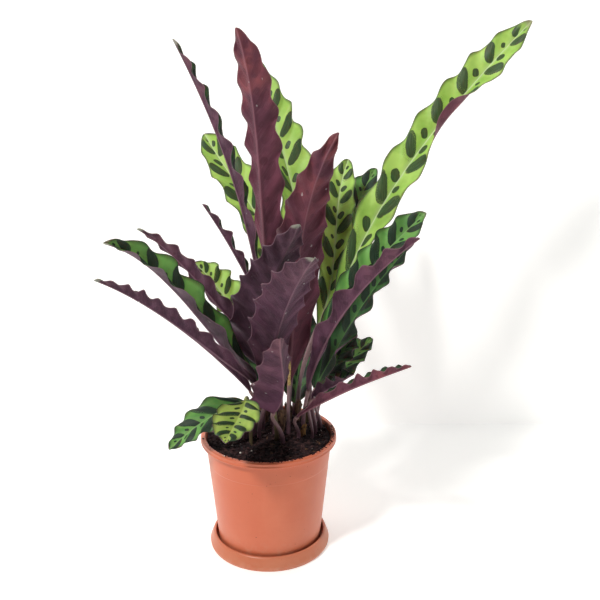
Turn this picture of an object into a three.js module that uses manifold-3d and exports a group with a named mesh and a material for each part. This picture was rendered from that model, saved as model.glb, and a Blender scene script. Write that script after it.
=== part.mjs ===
// A rattlesnake plant in a terracotta-coloured nursery pot, standing on a saucer.
// Millimetres, +Z up. The origin is the middle of the saucer's flat underside.
// Each leaf is a thin waved blade on a slim stem that stands in a plain hole in the soil.

import * as THREE from 'three';
import { mergeVertices } from 'three/addons/utils/BufferGeometryUtils.js';
import Module from 'manifold-3d';

const wasm = await Module();
wasm.setup();

// Clearance between pieces that touch on the real plant.
const SEAT_GAP = 0.3;

// Steps round each turned piece.
const ROUND_STEPS = 48;

// Saucer: its wall leans inward from a wide foot, and low ribs carry the pot.
const SAUCER_HEIGHT = 13.4;
const SAUCER_FOOT_RADIUS = 57.4;
const SAUCER_FOOT_ROUND_Z = 1.6;
const SAUCER_BELLY_RADIUS = 58.7;
const SAUCER_BELLY_Z = 4;
const SAUCER_RIM_OUTER = 55;
const SAUCER_RIM_INNER = 52.9;
const SAUCER_RIM_ROUND = 0.6;
const SAUCER_WALL = 2;
const SAUCER_FLOOR = 1.8;
const SAUCER_CORNER = 1;
const SAUCER_RIBS = 6;
const SAUCER_RIB_HEIGHT = 2.2;
const SAUCER_RIB_WIDTH = 3;
const SAUCER_RIB_START = 16;
const SAUCER_RIB_END = 50;
const SAUCER_RIB_SINK = 1;

// Pot: a thin tapered wall with a band round its mouth.
const POT_FOOT_Z = SAUCER_FLOOR + SAUCER_RIB_HEIGHT + SEAT_GAP;
const POT_FOOT_RADIUS = 49.6;
const POT_FOOT_RING = 5;
const POT_RECESS = 1.6;
const POT_FLOOR = 2.2;
const POT_WALL = 1.7;
const POT_NECK_RADIUS = 60.3;
const POT_TOP_Z = 116;
const POT_BAND_HEIGHT = 5.6;
const POT_BAND_OUTER = 65;
const POT_BAND_INNER = 61.2;
const POT_BAND_ROUND = 1;

// Soil: it fills the pot to just under the band, and its top is uneven.
const SOIL_TOP_Z = 112;
const SOIL_EDGE_Z = 110;
const SOIL_RINGS = 7;
const SOIL_BUMP = 1.5;
const SOIL_RIPPLES = 9;
const SHORTEST_RIPPLE = 12;
const LONGEST_RIPPLE = 52;
const SOIL_SEED = 20417;
const HOLE_SIDES = 10;
const HOLE_HEADROOM = 10;

// Stems: slim six-sided tubes that go straight down into their holes.
const STEM_DEPTH = 14;
const STEM_STRAIGHT = 3;
const STEM_SIDES = 6;
const STEM_STEPS = 8;
const STEM_PULL = 0.4;

// Blades: a folded, waved sheet with a raised rib underneath.
const BLADE_THICKNESS = 1.3;
const RIB_RISE = 1.2;
const BASE_HALF_WIDTH = 1.7;
const TIP_HALF_WIDTH = 0.6;
const BASE_OPENING = 6;
const TIP_BLUNTNESS = 5.5;
const TIP_ROUNDING = 0.85;
const BASE_STATIONS = [0, 0.04, 0.12];
const STATIONS_PER_WAVE = 4;
const COLUMNS = 3;
const WAVE_CROWDING = 1.5;
const SWING_FADE = 0.4;
const SWING_CHANGE = 0.28;
const SWING_CHANGE_RATE = 1.9;
const EDGE_SCALLOP = 0.09;
const CURL_START = 0.6;
const CURL_STEPS = 16;

// The leaves, in millimetres and degrees.
// foot: where the stem enters the soil. stem: the stem's diameter. waves: full waves along
// one edge. swing: how far the edge swings out of the blade. rib: the blade's middle line
// at its base, a third and two thirds of the way along, and at its tip. faces: the azimuth
// and elevation that the upper side looks towards, at the base and at the tip. fold: how
// far each half is folded up from flat, at the base and at the tip. blunt: how late the
// blade closes to its tip. opening: how soon it widens at its base. curl: the side that
// rolls over, the middle and spread of that stretch as shares of the length, and how far
// it rolls.
const LEAVES = [
  { name: 'leaf_01', foot: [12, 10], stem: 4, halfWidth: 20, waves: 7, swing: 4,
    rib: [[5, 8, 229], [-3, -5, 324], [-8, -14, 409], [-22, -20, 487]],
    faces: [[57, 5], [72, 5]], fold: [42, 34], blunt: 9 },
  { name: 'leaf_02', foot: [19, 2], stem: 3.8, halfWidth: 25, waves: 7, swing: 4.2,
    rib: [[20, 4, 166], [26, -26, 260], [36, -54, 341], [60, -80, 409]],
    faces: [[90, 20], [95, 25]], fold: [24, 20], blunt: 3 },
  { name: 'leaf_03', foot: [3, 23], stem: 3.6, halfWidth: 11.5, waves: 7, swing: 3,
    rib: [[-8, 30, 240], [-23, 27, 328], [-48, 20, 408], [-78, 10, 478]],
    faces: [[4, 20], [0, 20]], fold: [38, 34] },
  { name: 'leaf_04', foot: [10, 30], stem: 3.6, halfWidth: 21, waves: 5, swing: 5,
    rib: [[3, 48, 234], [-2, 68, 291], [-31, 93, 338], [-66, 124, 386]],
    faces: [[-80, 30], [-80, 40]], fold: [25, 25], blunt: 11 },
  { name: 'leaf_05', foot: [19, 33], stem: 4, halfWidth: 25, waves: 7, swing: 4.4,
    rib: [[32, 58, 231], [28, 78, 310], [9, 101, 385], [-14, 128, 459]],
    faces: [[-64, 20], [-62, 25]], fold: [30, 26] },
  { name: 'leaf_06', foot: [37, 31], stem: 4.4, halfWidth: 21, waves: 7, swing: 4.6,
    rib: [[66, 54, 227], [113, 73, 327], [177, 87, 415], [248, 96, 494]],
    faces: [[-118, 25], [-115, 30]], fold: [26, 22], blunt: 10, curl: [1, 0.64, 0.1, 86] },
  { name: 'leaf_07', foot: [28, 34], stem: 3.8, halfWidth: 18, waves: 5, swing: 5,
    rib: [[48, 50, 208], [63, 76, 259], [68, 104, 311], [80, 134, 359]],
    faces: [[-85, 30], [-85, 45]], fold: [25, 25], blunt: 9 },
  { name: 'leaf_08', foot: [27, 43], stem: 3.8, halfWidth: 18, waves: 5, swing: 5,
    rib: [[53, 72, 204], [71, 102, 250], [86, 135, 298], [112, 172, 344]],
    faces: [[-95, 35], [-100, 45]], fold: [25, 25], blunt: 9 },
  { name: 'leaf_09', foot: [42, 27], stem: 3.8, halfWidth: 18, waves: 5, swing: 4.5,
    rib: [[51, 30, 201], [80, 36, 245], [112, 39, 285], [148, 41, 322]],
    faces: [[-105, 42], [-105, 45]], fold: [22, 20], blunt: 10 },
  { name: 'leaf_10', foot: [33, -1], stem: 4, halfWidth: 13, waves: 5, swing: 4.4,
    rib: [[38, -16, 167], [58, -44, 234], [89, -68, 287], [125, -88, 327]],
    faces: [[112, 62], [110, 70]], fold: [46, 46], blunt: 5 },
  { name: 'leaf_11', foot: [45, 6], stem: 3.8, halfWidth: 19, waves: 5, swing: 4.5,
    rib: [[45, 4, 160], [71, 3, 213], [99, -2, 262], [131, -10, 305]],
    faces: [[-140, 50], [-140, 50]], fold: [22, 20] },
  { name: 'leaf_12', foot: [50, 14], stem: 3.8, halfWidth: 19, waves: 4, swing: 4.5,
    rib: [[47, 8, 153], [58, 15, 172], [70, 23, 189], [85, 30, 205]],
    faces: [[-120, 45], [-120, 50]], fold: [22, 20] },
  { name: 'leaf_13', foot: [47, 29], stem: 3.4, halfWidth: 15, waves: 4, swing: 4,
    rib: [[54, 36, 140], [69, 55, 154], [86, 73, 167], [105, 92, 179]],
    faces: [[-100, 50], [-100, 50]], fold: [25, 22] },
  { name: 'leaf_14', foot: [29, -8], stem: 3.6, halfWidth: 8.5, waves: 6, swing: 2.6,
    rib: [[28, -22, 142], [60, -46, 173], [92, -69, 198], [122, -90, 219]],
    faces: [[100, 72], [100, 76]], fold: [50, 48] },
  { name: 'leaf_15', foot: [42, -6], stem: 3.2, halfWidth: 11, waves: 4, swing: 2.6,
    rib: [[42, -12, 156], [54, -24, 170], [66, -34, 182], [78, -42, 193]],
    faces: [[100, 62], [100, 122]], fold: [50, 45] },
  { name: 'leaf_16', foot: [8, -10], stem: 4, halfWidth: 26, waves: 7, swing: 2.9,
    rib: [[4, -24, 175], [10, -66, 234], [23, -105, 284], [40, -140, 324]],
    faces: [[112, 38], [110, 42]], fold: [30, 27] },
  { name: 'leaf_17', foot: [6, 1], stem: 4, halfWidth: 28, waves: 7, swing: 3.3,
    rib: [[-3, -4, 183], [-5, -41, 244], [11, -77, 297], [29, -110, 343]],
    faces: [[106, 35], [106, 40]], fold: [26, 22], blunt: 3.2, opening: 8 },
  { name: 'leaf_18', foot: [14, -16], stem: 4, halfWidth: 29, waves: 4, swing: 2,
    rib: [[6, -27, 148], [15, -54, 180], [15, -84, 217], [14, -112, 251]],
    faces: [[134, 30], [132, 36]], fold: [44, 40], blunt: 2.2, opening: 30 },
  { name: 'leaf_19', foot: [-6, 14], stem: 3.6, halfWidth: 13, waves: 6, swing: 2.3,
    rib: [[-13, 6, 203], [-45, -9, 248], [-75, -22, 290], [-109, -34, 323]],
    faces: [[62, 50], [62, 50]], fold: [24, 14] },
  { name: 'leaf_20', foot: [-7, 22], stem: 3.4, halfWidth: 20, waves: 5, swing: 3.6,
    rib: [[-14, 22, 208], [-33, 28, 231], [-51, 33, 254], [-70, 36, 275]],
    faces: [[-60, 45], [-60, 50]], fold: [25, 22] },
  { name: 'leaf_21', foot: [-15, -3], stem: 3.8, halfWidth: 18, waves: 5, swing: 3.4,
    rib: [[-12, -21, 175], [-49, -47, 236], [-86, -67, 290], [-126, -88, 323]],
    faces: [[-8, 56], [-50, 46]], fold: [50, 48], opening: 10 },
  { name: 'leaf_22', foot: [-9, -6], stem: 3.8, halfWidth: 12.5, waves: 9, swing: 2,
    rib: [[-8, -34, 178], [-50, -69, 229], [-89, -96, 271], [-128, -118, 301]],
    faces: [[65, 68], [62, 66]], fold: [38, 36] },
  { name: 'leaf_23', foot: [-14, 6], stem: 3.2, halfWidth: 10, waves: 5, swing: 2,
    rib: [[-17, -8, 162], [-40, -24, 196], [-64, -38, 225], [-89, -50, 250]],
    faces: [[65, 68], [65, 68]], fold: [48, 46] },
  { name: 'leaf_24', foot: [-4, 31], stem: 3.2, halfWidth: 7.5, waves: 4, swing: 3,
    rib: [[-13, 44, 239], [-27, 48, 270], [-44, 51, 300], [-62, 52, 328]],
    faces: [[14, 25], [14, 25]], fold: [40, 36] },
  { name: 'leaf_25', foot: [-22, -8], stem: 3.6, halfWidth: 18, waves: 4, swing: 2.7,
    rib: [[-20, -16, 153], [-45, -28, 149], [-68, -38, 137], [-89, -46, 121]],
    faces: [[-110, 58], [-110, 54]], fold: [18, 16], blunt: 3.4 },
  { name: 'leaf_26', foot: [-16, -18], stem: 3.4, halfWidth: 20, waves: 4, swing: 3,
    rib: [[-19, -42, 167], [-22, -64, 164], [-27, -85, 161], [-32, -104, 156]],
    faces: [[-100, 62], [-100, 55]], fold: [16, 14] },
  { name: 'leaf_27', foot: [8, 47], stem: 3.6, halfWidth: 19, waves: 5, swing: 2.4,
    rib: [[5, 49, 124], [-3, 56, 148], [-12, 65, 172], [-24, 76, 194]],
    faces: [[-85, 30], [-85, 45]], fold: [22, 20], opening: 8 },
  { name: 'leaf_28', foot: [24, 48], stem: 3.6, halfWidth: 19, waves: 5, swing: 2.4,
    rib: [[24, 51, 124], [28, 70, 148], [33, 88, 176], [40, 104, 204]],
    faces: [[-85, 30], [-85, 45]], fold: [22, 20], opening: 8 },
];

// The lighter, yellow-green leaves.
const YOUNG_LEAVES = ['leaf_06', 'leaf_20', 'leaf_26'];

const MATERIALS = {
  leaf: new THREE.MeshStandardMaterial({ color: 0x5d8f4e, roughness: 0.5, metalness: 0 }),
  young: new THREE.MeshStandardMaterial({ color: 0x9dbb5f, roughness: 0.5, metalness: 0 }),
  stem: new THREE.MeshStandardMaterial({ color: 0x4a3238, roughness: 0.6, metalness: 0 }),
  soil: new THREE.MeshStandardMaterial({ color: 0x1c1514, roughness: 1, metalness: 0 }),
  pot: new THREE.MeshStandardMaterial({ color: 0xc9704f, roughness: 0.45, metalness: 0 }),
  saucer: new THREE.MeshStandardMaterial({ color: 0xc07856, roughness: 0.5, metalness: 0 }),
};

const DEGREE = Math.PI / 180;

// A closed solid from a three.js geometry, with its shared corners merged.
function toSolid(geometry) {
  geometry.deleteAttribute('normal');
  geometry.deleteAttribute('uv');
  const merged = mergeVertices(geometry);
  return new wasm.Manifold(new wasm.Mesh({
    numProp: 3,
    vertProperties: new Float32Array(merged.attributes.position.array),
    triVerts: new Uint32Array(merged.index.array),
  }));
}

// A three.js geometry from a solid.
function toGeometry(solid) {
  const mesh = solid.getMesh();
  const geometry = new THREE.BufferGeometry();
  geometry.setAttribute('position', new THREE.BufferAttribute(mesh.vertProperties, 3));
  geometry.setIndex(new THREE.BufferAttribute(mesh.triVerts, 1));
  geometry.computeVertexNormals();
  return geometry;
}

// A profile of [radius, height] pairs turned round the Z axis.
function turned(profile) {
  const points = profile.map(([radius, height]) => new THREE.Vector2(radius, height));
  const geometry = new THREE.LatheGeometry(points, ROUND_STEPS);
  geometry.rotateX(Math.PI / 2);
  return geometry;
}

// An upright cylinder between two heights.
function uprightCylinder(x, y, radius, bottom, top, sides) {
  const geometry = new THREE.CylinderGeometry(radius, radius, top - bottom, sides);
  geometry.rotateX(Math.PI / 2);
  geometry.translate(x, y, (bottom + top) / 2);
  return toSolid(geometry);
}

function makeSaucer() {
  const inner = SAUCER_BELLY_RADIUS - SAUCER_WALL;
  const round = SAUCER_RIM_ROUND;
  let solid = toSolid(turned([
    [0, 0],
    [SAUCER_FOOT_RADIUS, 0],
    [SAUCER_BELLY_RADIUS - round / 2, SAUCER_FOOT_ROUND_Z],
    [SAUCER_BELLY_RADIUS, SAUCER_BELLY_Z],
    [SAUCER_RIM_OUTER + round, SAUCER_HEIGHT - 2 * round],
    [SAUCER_RIM_OUTER, SAUCER_HEIGHT - round / 2],
    [SAUCER_RIM_OUTER - round, SAUCER_HEIGHT],
    [SAUCER_RIM_INNER + round / 2, SAUCER_HEIGHT],
    [SAUCER_RIM_INNER, SAUCER_HEIGHT - round],
    [inner, SAUCER_BELLY_Z],
    [inner - SAUCER_CORNER, SAUCER_FLOOR],
    [0, SAUCER_FLOOR],
  ]));
  const length = SAUCER_RIB_END - SAUCER_RIB_START;
  const depth = SAUCER_RIB_HEIGHT + SAUCER_RIB_SINK;
  const middle = SAUCER_FLOOR - SAUCER_RIB_SINK + depth / 2;
  for (let rib = 0; rib < SAUCER_RIBS; rib += 1) {
    const bar = new THREE.BoxGeometry(length, SAUCER_RIB_WIDTH, depth);
    bar.translate(SAUCER_RIB_START + length / 2, 0, middle);
    bar.rotateZ((2 * Math.PI * rib) / SAUCER_RIBS);
    solid = solid.add(toSolid(bar));
  }
  return toGeometry(solid);
}

// Radius of the pot's outer wall at a height.
function potRadius(z) {
  const neckZ = POT_TOP_Z - POT_BAND_HEIGHT;
  const share = (z - POT_FOOT_Z) / (neckZ - POT_FOOT_Z);
  return POT_FOOT_RADIUS + (POT_NECK_RADIUS - POT_FOOT_RADIUS) * share;
}

function makePot() {
  const bandZ = POT_TOP_Z - POT_BAND_HEIGHT;
  const floorUnder = POT_FOOT_Z + POT_RECESS;
  const floorTop = floorUnder + POT_FLOOR;
  const shell = toSolid(turned([
    [0, floorUnder],
    [POT_FOOT_RADIUS - POT_FOOT_RING - POT_RECESS, floorUnder],
    [POT_FOOT_RADIUS - POT_FOOT_RING, POT_FOOT_Z],
    [POT_FOOT_RADIUS - POT_BAND_ROUND, POT_FOOT_Z],
    [potRadius(POT_FOOT_Z + POT_BAND_ROUND), POT_FOOT_Z + POT_BAND_ROUND],
    [POT_NECK_RADIUS, bandZ],
    [POT_BAND_OUTER - POT_BAND_ROUND, bandZ],
    [POT_BAND_OUTER, bandZ + POT_BAND_ROUND],
    [POT_BAND_OUTER, POT_TOP_Z - POT_BAND_ROUND],
    [POT_BAND_OUTER - POT_BAND_ROUND, POT_TOP_Z],
    [POT_BAND_INNER, POT_TOP_Z],
    [POT_BAND_INNER - POT_BAND_ROUND, POT_TOP_Z - POT_BAND_ROUND],
    [POT_NECK_RADIUS - POT_WALL, bandZ - POT_BAND_ROUND],
    [potRadius(floorTop) - POT_WALL, floorTop],
    [0, floorTop],
  ]));
  return toGeometry(shell);
}

// A seeded random number maker.
function seededRandom(seed) {
  let state = seed;
  return () => {
    state = (state + 0x6d2b79f5) | 0;
    let mixed = Math.imul(state ^ (state >>> 15), 1 | state);
    mixed = (mixed + Math.imul(mixed ^ (mixed >>> 7), 61 | mixed)) ^ mixed;
    return ((mixed ^ (mixed >>> 14)) >>> 0) / 4294967296;
  };
}

// The soil's height above its level, as crossing ripples drawn from the seed.
function soilRipples() {
  const random = seededRandom(SOIL_SEED);
  const ripples = [];
  for (let count = 0; count < SOIL_RIPPLES; count += 1) {
    const angle = 2 * Math.PI * random();
    const length = THREE.MathUtils.lerp(SHORTEST_RIPPLE, LONGEST_RIPPLE, random());
    ripples.push({ angle, length, start: 2 * Math.PI * random() });
  }
  return (x, y) => ripples.reduce((height, ripple) => {
    const along = x * Math.cos(ripple.angle) + y * Math.sin(ripple.angle);
    const wave = Math.sin((2 * Math.PI * along) / ripple.length + ripple.start);
    return height + (SOIL_BUMP * wave) / Math.sqrt(SOIL_RIPPLES);
  }, 0);
}

// The plain hole that a leaf's stem stands in.
function stemHole(leaf) {
  const [x, y] = leaf.foot;
  const radius = (leaf.stem / 2 + SEAT_GAP) / Math.cos(Math.PI / HOLE_SIDES);
  const bottom = SOIL_TOP_Z - STEM_DEPTH - SEAT_GAP;
  return uprightCylinder(x, y, radius, bottom, SOIL_TOP_Z + HOLE_HEADROOM, HOLE_SIDES);
}

function makeSoil() {
  const bottom = POT_FOOT_Z + POT_RECESS + POT_FLOOR + SEAT_GAP;
  const clearWall = POT_WALL + SEAT_GAP;
  const edge = potRadius(SOIL_EDGE_Z) - clearWall;
  const profile = [[0, bottom], [potRadius(bottom) - clearWall, bottom], [edge, SOIL_EDGE_Z]];
  for (let ring = SOIL_RINGS - 1; ring >= 0; ring -= 1) {
    profile.push([(edge * ring) / SOIL_RINGS, SOIL_TOP_Z]);
  }
  const body = turned(profile);
  const height = soilRipples();
  const corners = body.attributes.position;
  for (let corner = 0; corner < corners.count; corner += 1) {
    if (corners.getZ(corner) > SOIL_EDGE_Z + SEAT_GAP) {
      const rise = height(corners.getX(corner), corners.getY(corner));
      corners.setZ(corner, SOIL_TOP_Z + rise);
    }
  }
  let solid = toSolid(body);
  for (const leaf of LEAVES) {
    solid = solid.subtract(stemHole(leaf));
  }
  return toGeometry(solid);
}

// The blade's middle line: a cubic curve through the leaf's four rib points.
function ribCurve(leaf) {
  const [base, third, twoThirds, tip] = leaf.rib.map((point) => new THREE.Vector3(...point));
  const mix = (a, b, c, d) => new THREE.Vector3()
    .addScaledVector(base, a / 6)
    .addScaledVector(third, b / 6)
    .addScaledVector(twoThirds, c / 6)
    .addScaledVector(tip, d / 6);
  return new THREE.CubicBezierCurve3(base, mix(-5, 18, -9, 2), mix(2, -9, 18, -5), tip);
}

// The number at the end of a leaf's name.
function leafNumber(leaf) {
  return Number(leaf.name.slice(-2));
}

// The direction that the upper side looks towards at a share of the blade's length.
function facing(leaf, share) {
  const [[azimuth, elevation], [tipAzimuth, tipElevation]] = leaf.faces;
  const turn = THREE.MathUtils.lerp(azimuth, tipAzimuth, share) * DEGREE;
  const lift = THREE.MathUtils.lerp(elevation, tipElevation, share) * DEGREE;
  const flat = Math.cos(lift);
  return new THREE.Vector3(flat * Math.cos(turn), flat * Math.sin(turn), Math.sin(lift));
}

// The blade's frame at a share of its length: place, forward, sideways and upper-side normal.
function bladeFrame(leaf, curve, share) {
  const place = curve.getPoint(share);
  const forward = curve.getTangent(share);
  const normal = facing(leaf, share);
  normal.addScaledVector(forward, -normal.dot(forward)).normalize();
  const sideways = new THREE.Vector3().crossVectors(forward, normal);
  return { place, forward, sideways, normal };
}

function halfWidthAt(leaf, share) {
  const narrow = THREE.MathUtils.lerp(BASE_HALF_WIDTH, TIP_HALF_WIDTH, share);
  const opening = 1 - (1 - share) ** (leaf.opening ?? BASE_OPENING);
  const closing = (1 - share ** (leaf.blunt ?? TIP_BLUNTNESS)) ** TIP_ROUNDING;
  return narrow + (leaf.halfWidth - narrow) * opening * closing;
}

// The places along the blade where it is cut, in waves from its base.
function bladeStations(leaf) {
  const stations = [...BASE_STATIONS];
  for (let quarter = 1; quarter <= leaf.waves * STATIONS_PER_WAVE; quarter += 1) {
    stations.push(quarter / STATIONS_PER_WAVE);
  }
  return stations;
}

// How far a side rolls over at a share of the blade's length, as a share of its full roll.
function rollShare(leaf, share, side) {
  const [rollSide, middle, spread] = leaf.curl ?? [0, 0, 1];
  return side * rollSide > 0 ? Math.exp(-(((share - middle) / spread) ** 2)) : 0;
}

// The way from the rib to an edge of a half blade that is folded up and perhaps rolled
// over: how far it goes sideways and how far up, as shares of the half's width.
function halfPath(leaf, share, side) {
  const fold = THREE.MathUtils.lerp(...leaf.fold, share) * DEGREE;
  const roll = rollShare(leaf, share, side) * (leaf.curl ?? [0, 0, 0, 0])[3] * DEGREE;
  let across = 0;
  let rise = 0;
  for (let step = 0; step < CURL_STEPS; step += 1) {
    const out = (step + 0.5) / CURL_STEPS;
    const angle = fold + roll * THREE.MathUtils.smoothstep(out, 0, CURL_START);
    across += Math.cos(angle) / CURL_STEPS;
    rise += Math.sin(angle) / CURL_STEPS;
  }
  return { across, rise };
}

// The blade's two faces at a number of waves from its base, on its left (-1), rib (0) or
// right (1). Waves are longer near the base and differ a little in height.
function bladeSection(leaf, curve, wave, side) {
  const share = (wave / leaf.waves) ** (1 / WAVE_CROWDING);
  const { place, sideways, normal } = bladeFrame(leaf, curve, share);
  const quarterTurn = side > 0 ? Math.PI / 2 : 0;
  const angle = 2 * Math.PI * wave + quarterTurn;
  const fade = Math.max(Math.sin(Math.PI * share), 0) ** SWING_FADE;
  const reach = halfWidthAt(leaf, share) * (1 + EDGE_SCALLOP * fade * Math.sin(angle));
  const { across, rise } = halfPath(leaf, share, side);
  const middle = place.clone();
  middle.addScaledVector(sideways, side * reach * across);
  const change = SWING_CHANGE * Math.sin(SWING_CHANGE_RATE * wave + leafNumber(leaf) + side);
  const free = fade * (1 + change) * (1 - rollShare(leaf, share, side));
  const swing = leaf.swing * free * Math.cos(angle);
  middle.addScaledVector(normal, Math.abs(side) * (reach * rise + swing));
  const outward = normal.clone();
  const ribRise = side === 0 ? RIB_RISE * (1 - share) * Math.min(1, wave) : 0;
  if (side !== 0) {
    outward.multiplyScalar(across).addScaledVector(sideways, -side * rise).normalize();
  }
  return {
    upper: middle.clone().addScaledVector(outward, BLADE_THICKNESS / 2),
    lower: middle.clone().addScaledVector(outward, -BLADE_THICKNESS / 2 - ribRise),
  };
}

// The corners round a sheet of so many rows and columns of corners, in turn.
function sheetOutline(rows, columns) {
  const outline = [];
  for (let column = 0; column < columns - 1; column += 1) {
    outline.push(column);
  }
  for (let row = 0; row < rows - 1; row += 1) {
    outline.push(row * columns + columns - 1);
  }
  for (let column = columns - 1; column > 0; column -= 1) {
    outline.push((rows - 1) * columns + column);
  }
  for (let row = rows - 1; row > 0; row -= 1) {
    outline.push(row * columns);
  }
  return outline;
}

// A closed blade: the upper and lower faces are split into triangles alike, and a narrow
// wall runs round them.
function makeBlade(leaf) {
  const curve = ribCurve(leaf);
  const stations = bladeStations(leaf);
  const rows = stations.length;
  const sheet = new THREE.PlaneGeometry(1, 1, COLUMNS - 1, rows - 1);
  const lowerStart = rows * COLUMNS;
  const corners = new Float32Array(lowerStart * 2 * 3);
  stations.forEach((wave, station) => {
    for (let column = 0; column < COLUMNS; column += 1) {
      const { upper, lower } = bladeSection(leaf, curve, wave, column - 1);
      const corner = (rows - 1 - station) * COLUMNS + column;
      upper.toArray(corners, corner * 3);
      lower.toArray(corners, (corner + lowerStart) * 3);
    }
  });
  const faces = [];
  const upperFaces = sheet.index.array;
  for (let index = 0; index < upperFaces.length; index += 3) {
    const [a, b, c] = upperFaces.slice(index, index + 3);
    faces.push(a, b, c);
    faces.push(a + lowerStart, c + lowerStart, b + lowerStart);
  }
  const outline = sheetOutline(rows, COLUMNS);
  outline.forEach((corner, index) => {
    const next = outline[(index + 1) % outline.length];
    faces.push(corner, next, next + lowerStart);
    faces.push(corner, next + lowerStart, corner + lowerStart);
  });
  const blade = new THREE.BufferGeometry();
  blade.setAttribute('position', new THREE.BufferAttribute(corners, 3));
  blade.setIndex(faces);
  blade.computeVertexNormals();
  return blade;
}

// A stem: straight down into its hole, and curved over to the base of its blade.
function makeStem(leaf) {
  const curve = ribCurve(leaf);
  const forward = curve.getTangent(0);
  const end = curve.getPoint(0).addScaledVector(forward, -SEAT_GAP);
  const [x, y] = leaf.foot;
  const foot = new THREE.Vector3(x, y, SOIL_TOP_Z - STEM_DEPTH);
  const leaving = new THREE.Vector3(x, y, SOIL_TOP_Z + STEM_STRAIGHT);
  const pull = STEM_PULL * leaving.distanceTo(end);
  const route = new THREE.CurvePath();
  route.add(new THREE.LineCurve3(foot, leaving));
  route.add(new THREE.CubicBezierCurve3(
    leaving,
    leaving.clone().add(new THREE.Vector3(0, 0, pull)),
    end.clone().addScaledVector(forward, -pull),
    end));
  const ring = [];
  for (let corner = 0; corner < STEM_SIDES; corner += 1) {
    const angle = (2 * Math.PI * corner) / STEM_SIDES;
    ring.push(new THREE.Vector2(Math.cos(angle), Math.sin(angle)).multiplyScalar(leaf.stem / 2));
  }
  return new THREE.ExtrudeGeometry(new THREE.Shape(ring), {
    steps: STEM_STEPS,
    extrudePath: route,
  });
}

const plant = new THREE.Group();

function addPiece(name, geometry, material) {
  const piece = new THREE.Mesh(geometry, material);
  piece.name = name;
  plant.add(piece);
}

addPiece('saucer', makeSaucer(), MATERIALS.saucer);
addPiece('pot', makePot(), MATERIALS.pot);
addPiece('soil', makeSoil(), MATERIALS.soil);
for (const leaf of LEAVES) {
  const colour = YOUNG_LEAVES.includes(leaf.name) ? MATERIALS.young : MATERIALS.leaf;
  addPiece(`${leaf.name}_blade`, makeBlade(leaf), colour);
  addPiece(`${leaf.name}_stem`, makeStem(leaf), MATERIALS.stem);
}

export default plant;
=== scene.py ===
"""A rattlesnake plant in a terracotta-coloured nursery pot, standing on a saucer.

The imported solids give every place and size. Each blade, stem, the soil, the pot and the
saucer gets a finer piece of the same form, with its own colours, veins and marks.
"""

from __future__ import annotations

import functools
import logging
import math
import random
from collections.abc import Iterable, Iterator, Sequence
from dataclasses import dataclass, field
from enum import Enum
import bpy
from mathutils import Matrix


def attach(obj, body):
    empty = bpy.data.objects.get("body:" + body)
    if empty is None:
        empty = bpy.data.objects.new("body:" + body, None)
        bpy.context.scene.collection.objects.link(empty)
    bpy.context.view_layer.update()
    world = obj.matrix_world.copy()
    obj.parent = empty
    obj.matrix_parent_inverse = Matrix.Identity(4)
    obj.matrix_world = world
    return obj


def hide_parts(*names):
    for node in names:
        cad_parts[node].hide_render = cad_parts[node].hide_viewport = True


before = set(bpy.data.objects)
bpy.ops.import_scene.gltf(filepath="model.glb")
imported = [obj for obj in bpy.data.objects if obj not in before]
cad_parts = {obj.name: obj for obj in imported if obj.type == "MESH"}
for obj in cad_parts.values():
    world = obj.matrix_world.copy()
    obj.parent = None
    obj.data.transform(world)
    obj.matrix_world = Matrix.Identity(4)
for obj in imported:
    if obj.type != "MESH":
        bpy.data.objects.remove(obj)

from types import MappingProxyType
from typing import Any, NamedTuple

import bmesh
import bpy
import numpy as np
from mathutils import Matrix, Vector, noise

LOG = logging.getLogger("plant")
MM = 0.001
TO_METRES = Matrix.Scale(MM, 4)
Socket = bpy.types.NodeSocket
Shape = bmesh.types.BMesh
Colour = tuple[float, float, float]
Point = tuple[float, float, float]
Pair = tuple[float, float]


def linear(*screen: int) -> Colour:
    """Turns a screen colour into linear light.

    Args:
        screen: The red, green and blue shares, from 0 to 255.

    Returns:
        The same colour as linear red, green and blue.
    """
    shares = (value / 255 for value in screen)
    return tuple(share / 12.92 if share <= 0.04045 else ((share + 0.055) / 1.055) ** 2.4
                 for share in shares)


def dimmed(colour: Colour, factor: float) -> Colour:
    """Makes a linear colour darker or lighter."""
    return tuple(factor * value for value in colour)


class UpperTone(Enum):
    """How light a leaf's upper side is. The deep tone is partly the leaf's own dark green and partly
    painted shade for the shaded leaves inside the plant.
    """

    LIME = "lime"
    YELLOW = "yellow"
    MID = "mid"
    # the deep tone: partly the leaf's own dark green, partly painted shade for leaves inside the plant
    DEEP = "deep"


class UnderTone(Enum):
    """How light a leaf's underside is."""

    ROSE = "rose"
    MAROON = "maroon"
    PLUM = "plum"
    DUSK = "dusk"


@dataclass(frozen=True)
class Leaf:
    """One leaf's sizes, in millimetres and degrees, as the solids have them.

    The rib runs through four points, from the blade's base to its tip. The faces say where
    the upper side looks, as azimuth and elevation, and the fold how far each half stands up,
    both at the base and at the tip. The curl is the side, middle, spread and angle of a
    stretch where the edge rolls over. A young leaf is flagged as young.
    """

    name: str
    foot: Pair
    stem: float
    half_width: float
    waves: int
    swing: float
    rib: tuple[Point, Point, Point, Point]
    faces: tuple[Pair, Pair]
    fold: Pair
    upper: UpperTone = UpperTone.DEEP
    under: UnderTone = UnderTone.PLUM
    dry: float = 0.0
    blunt: float = 5.5
    opening: float = 6.0
    vein: float = 38.0
    curl: tuple[float, float, float, float] = (0.0, 0.5, 1.0, 0.0)
    young: bool = False
    green_stem: bool = False

    @property
    def seed(self) -> float:
        """A number that is this leaf's own, for marks that differ from leaf to leaf."""
        return float(int(self.name[-2:]))


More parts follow.
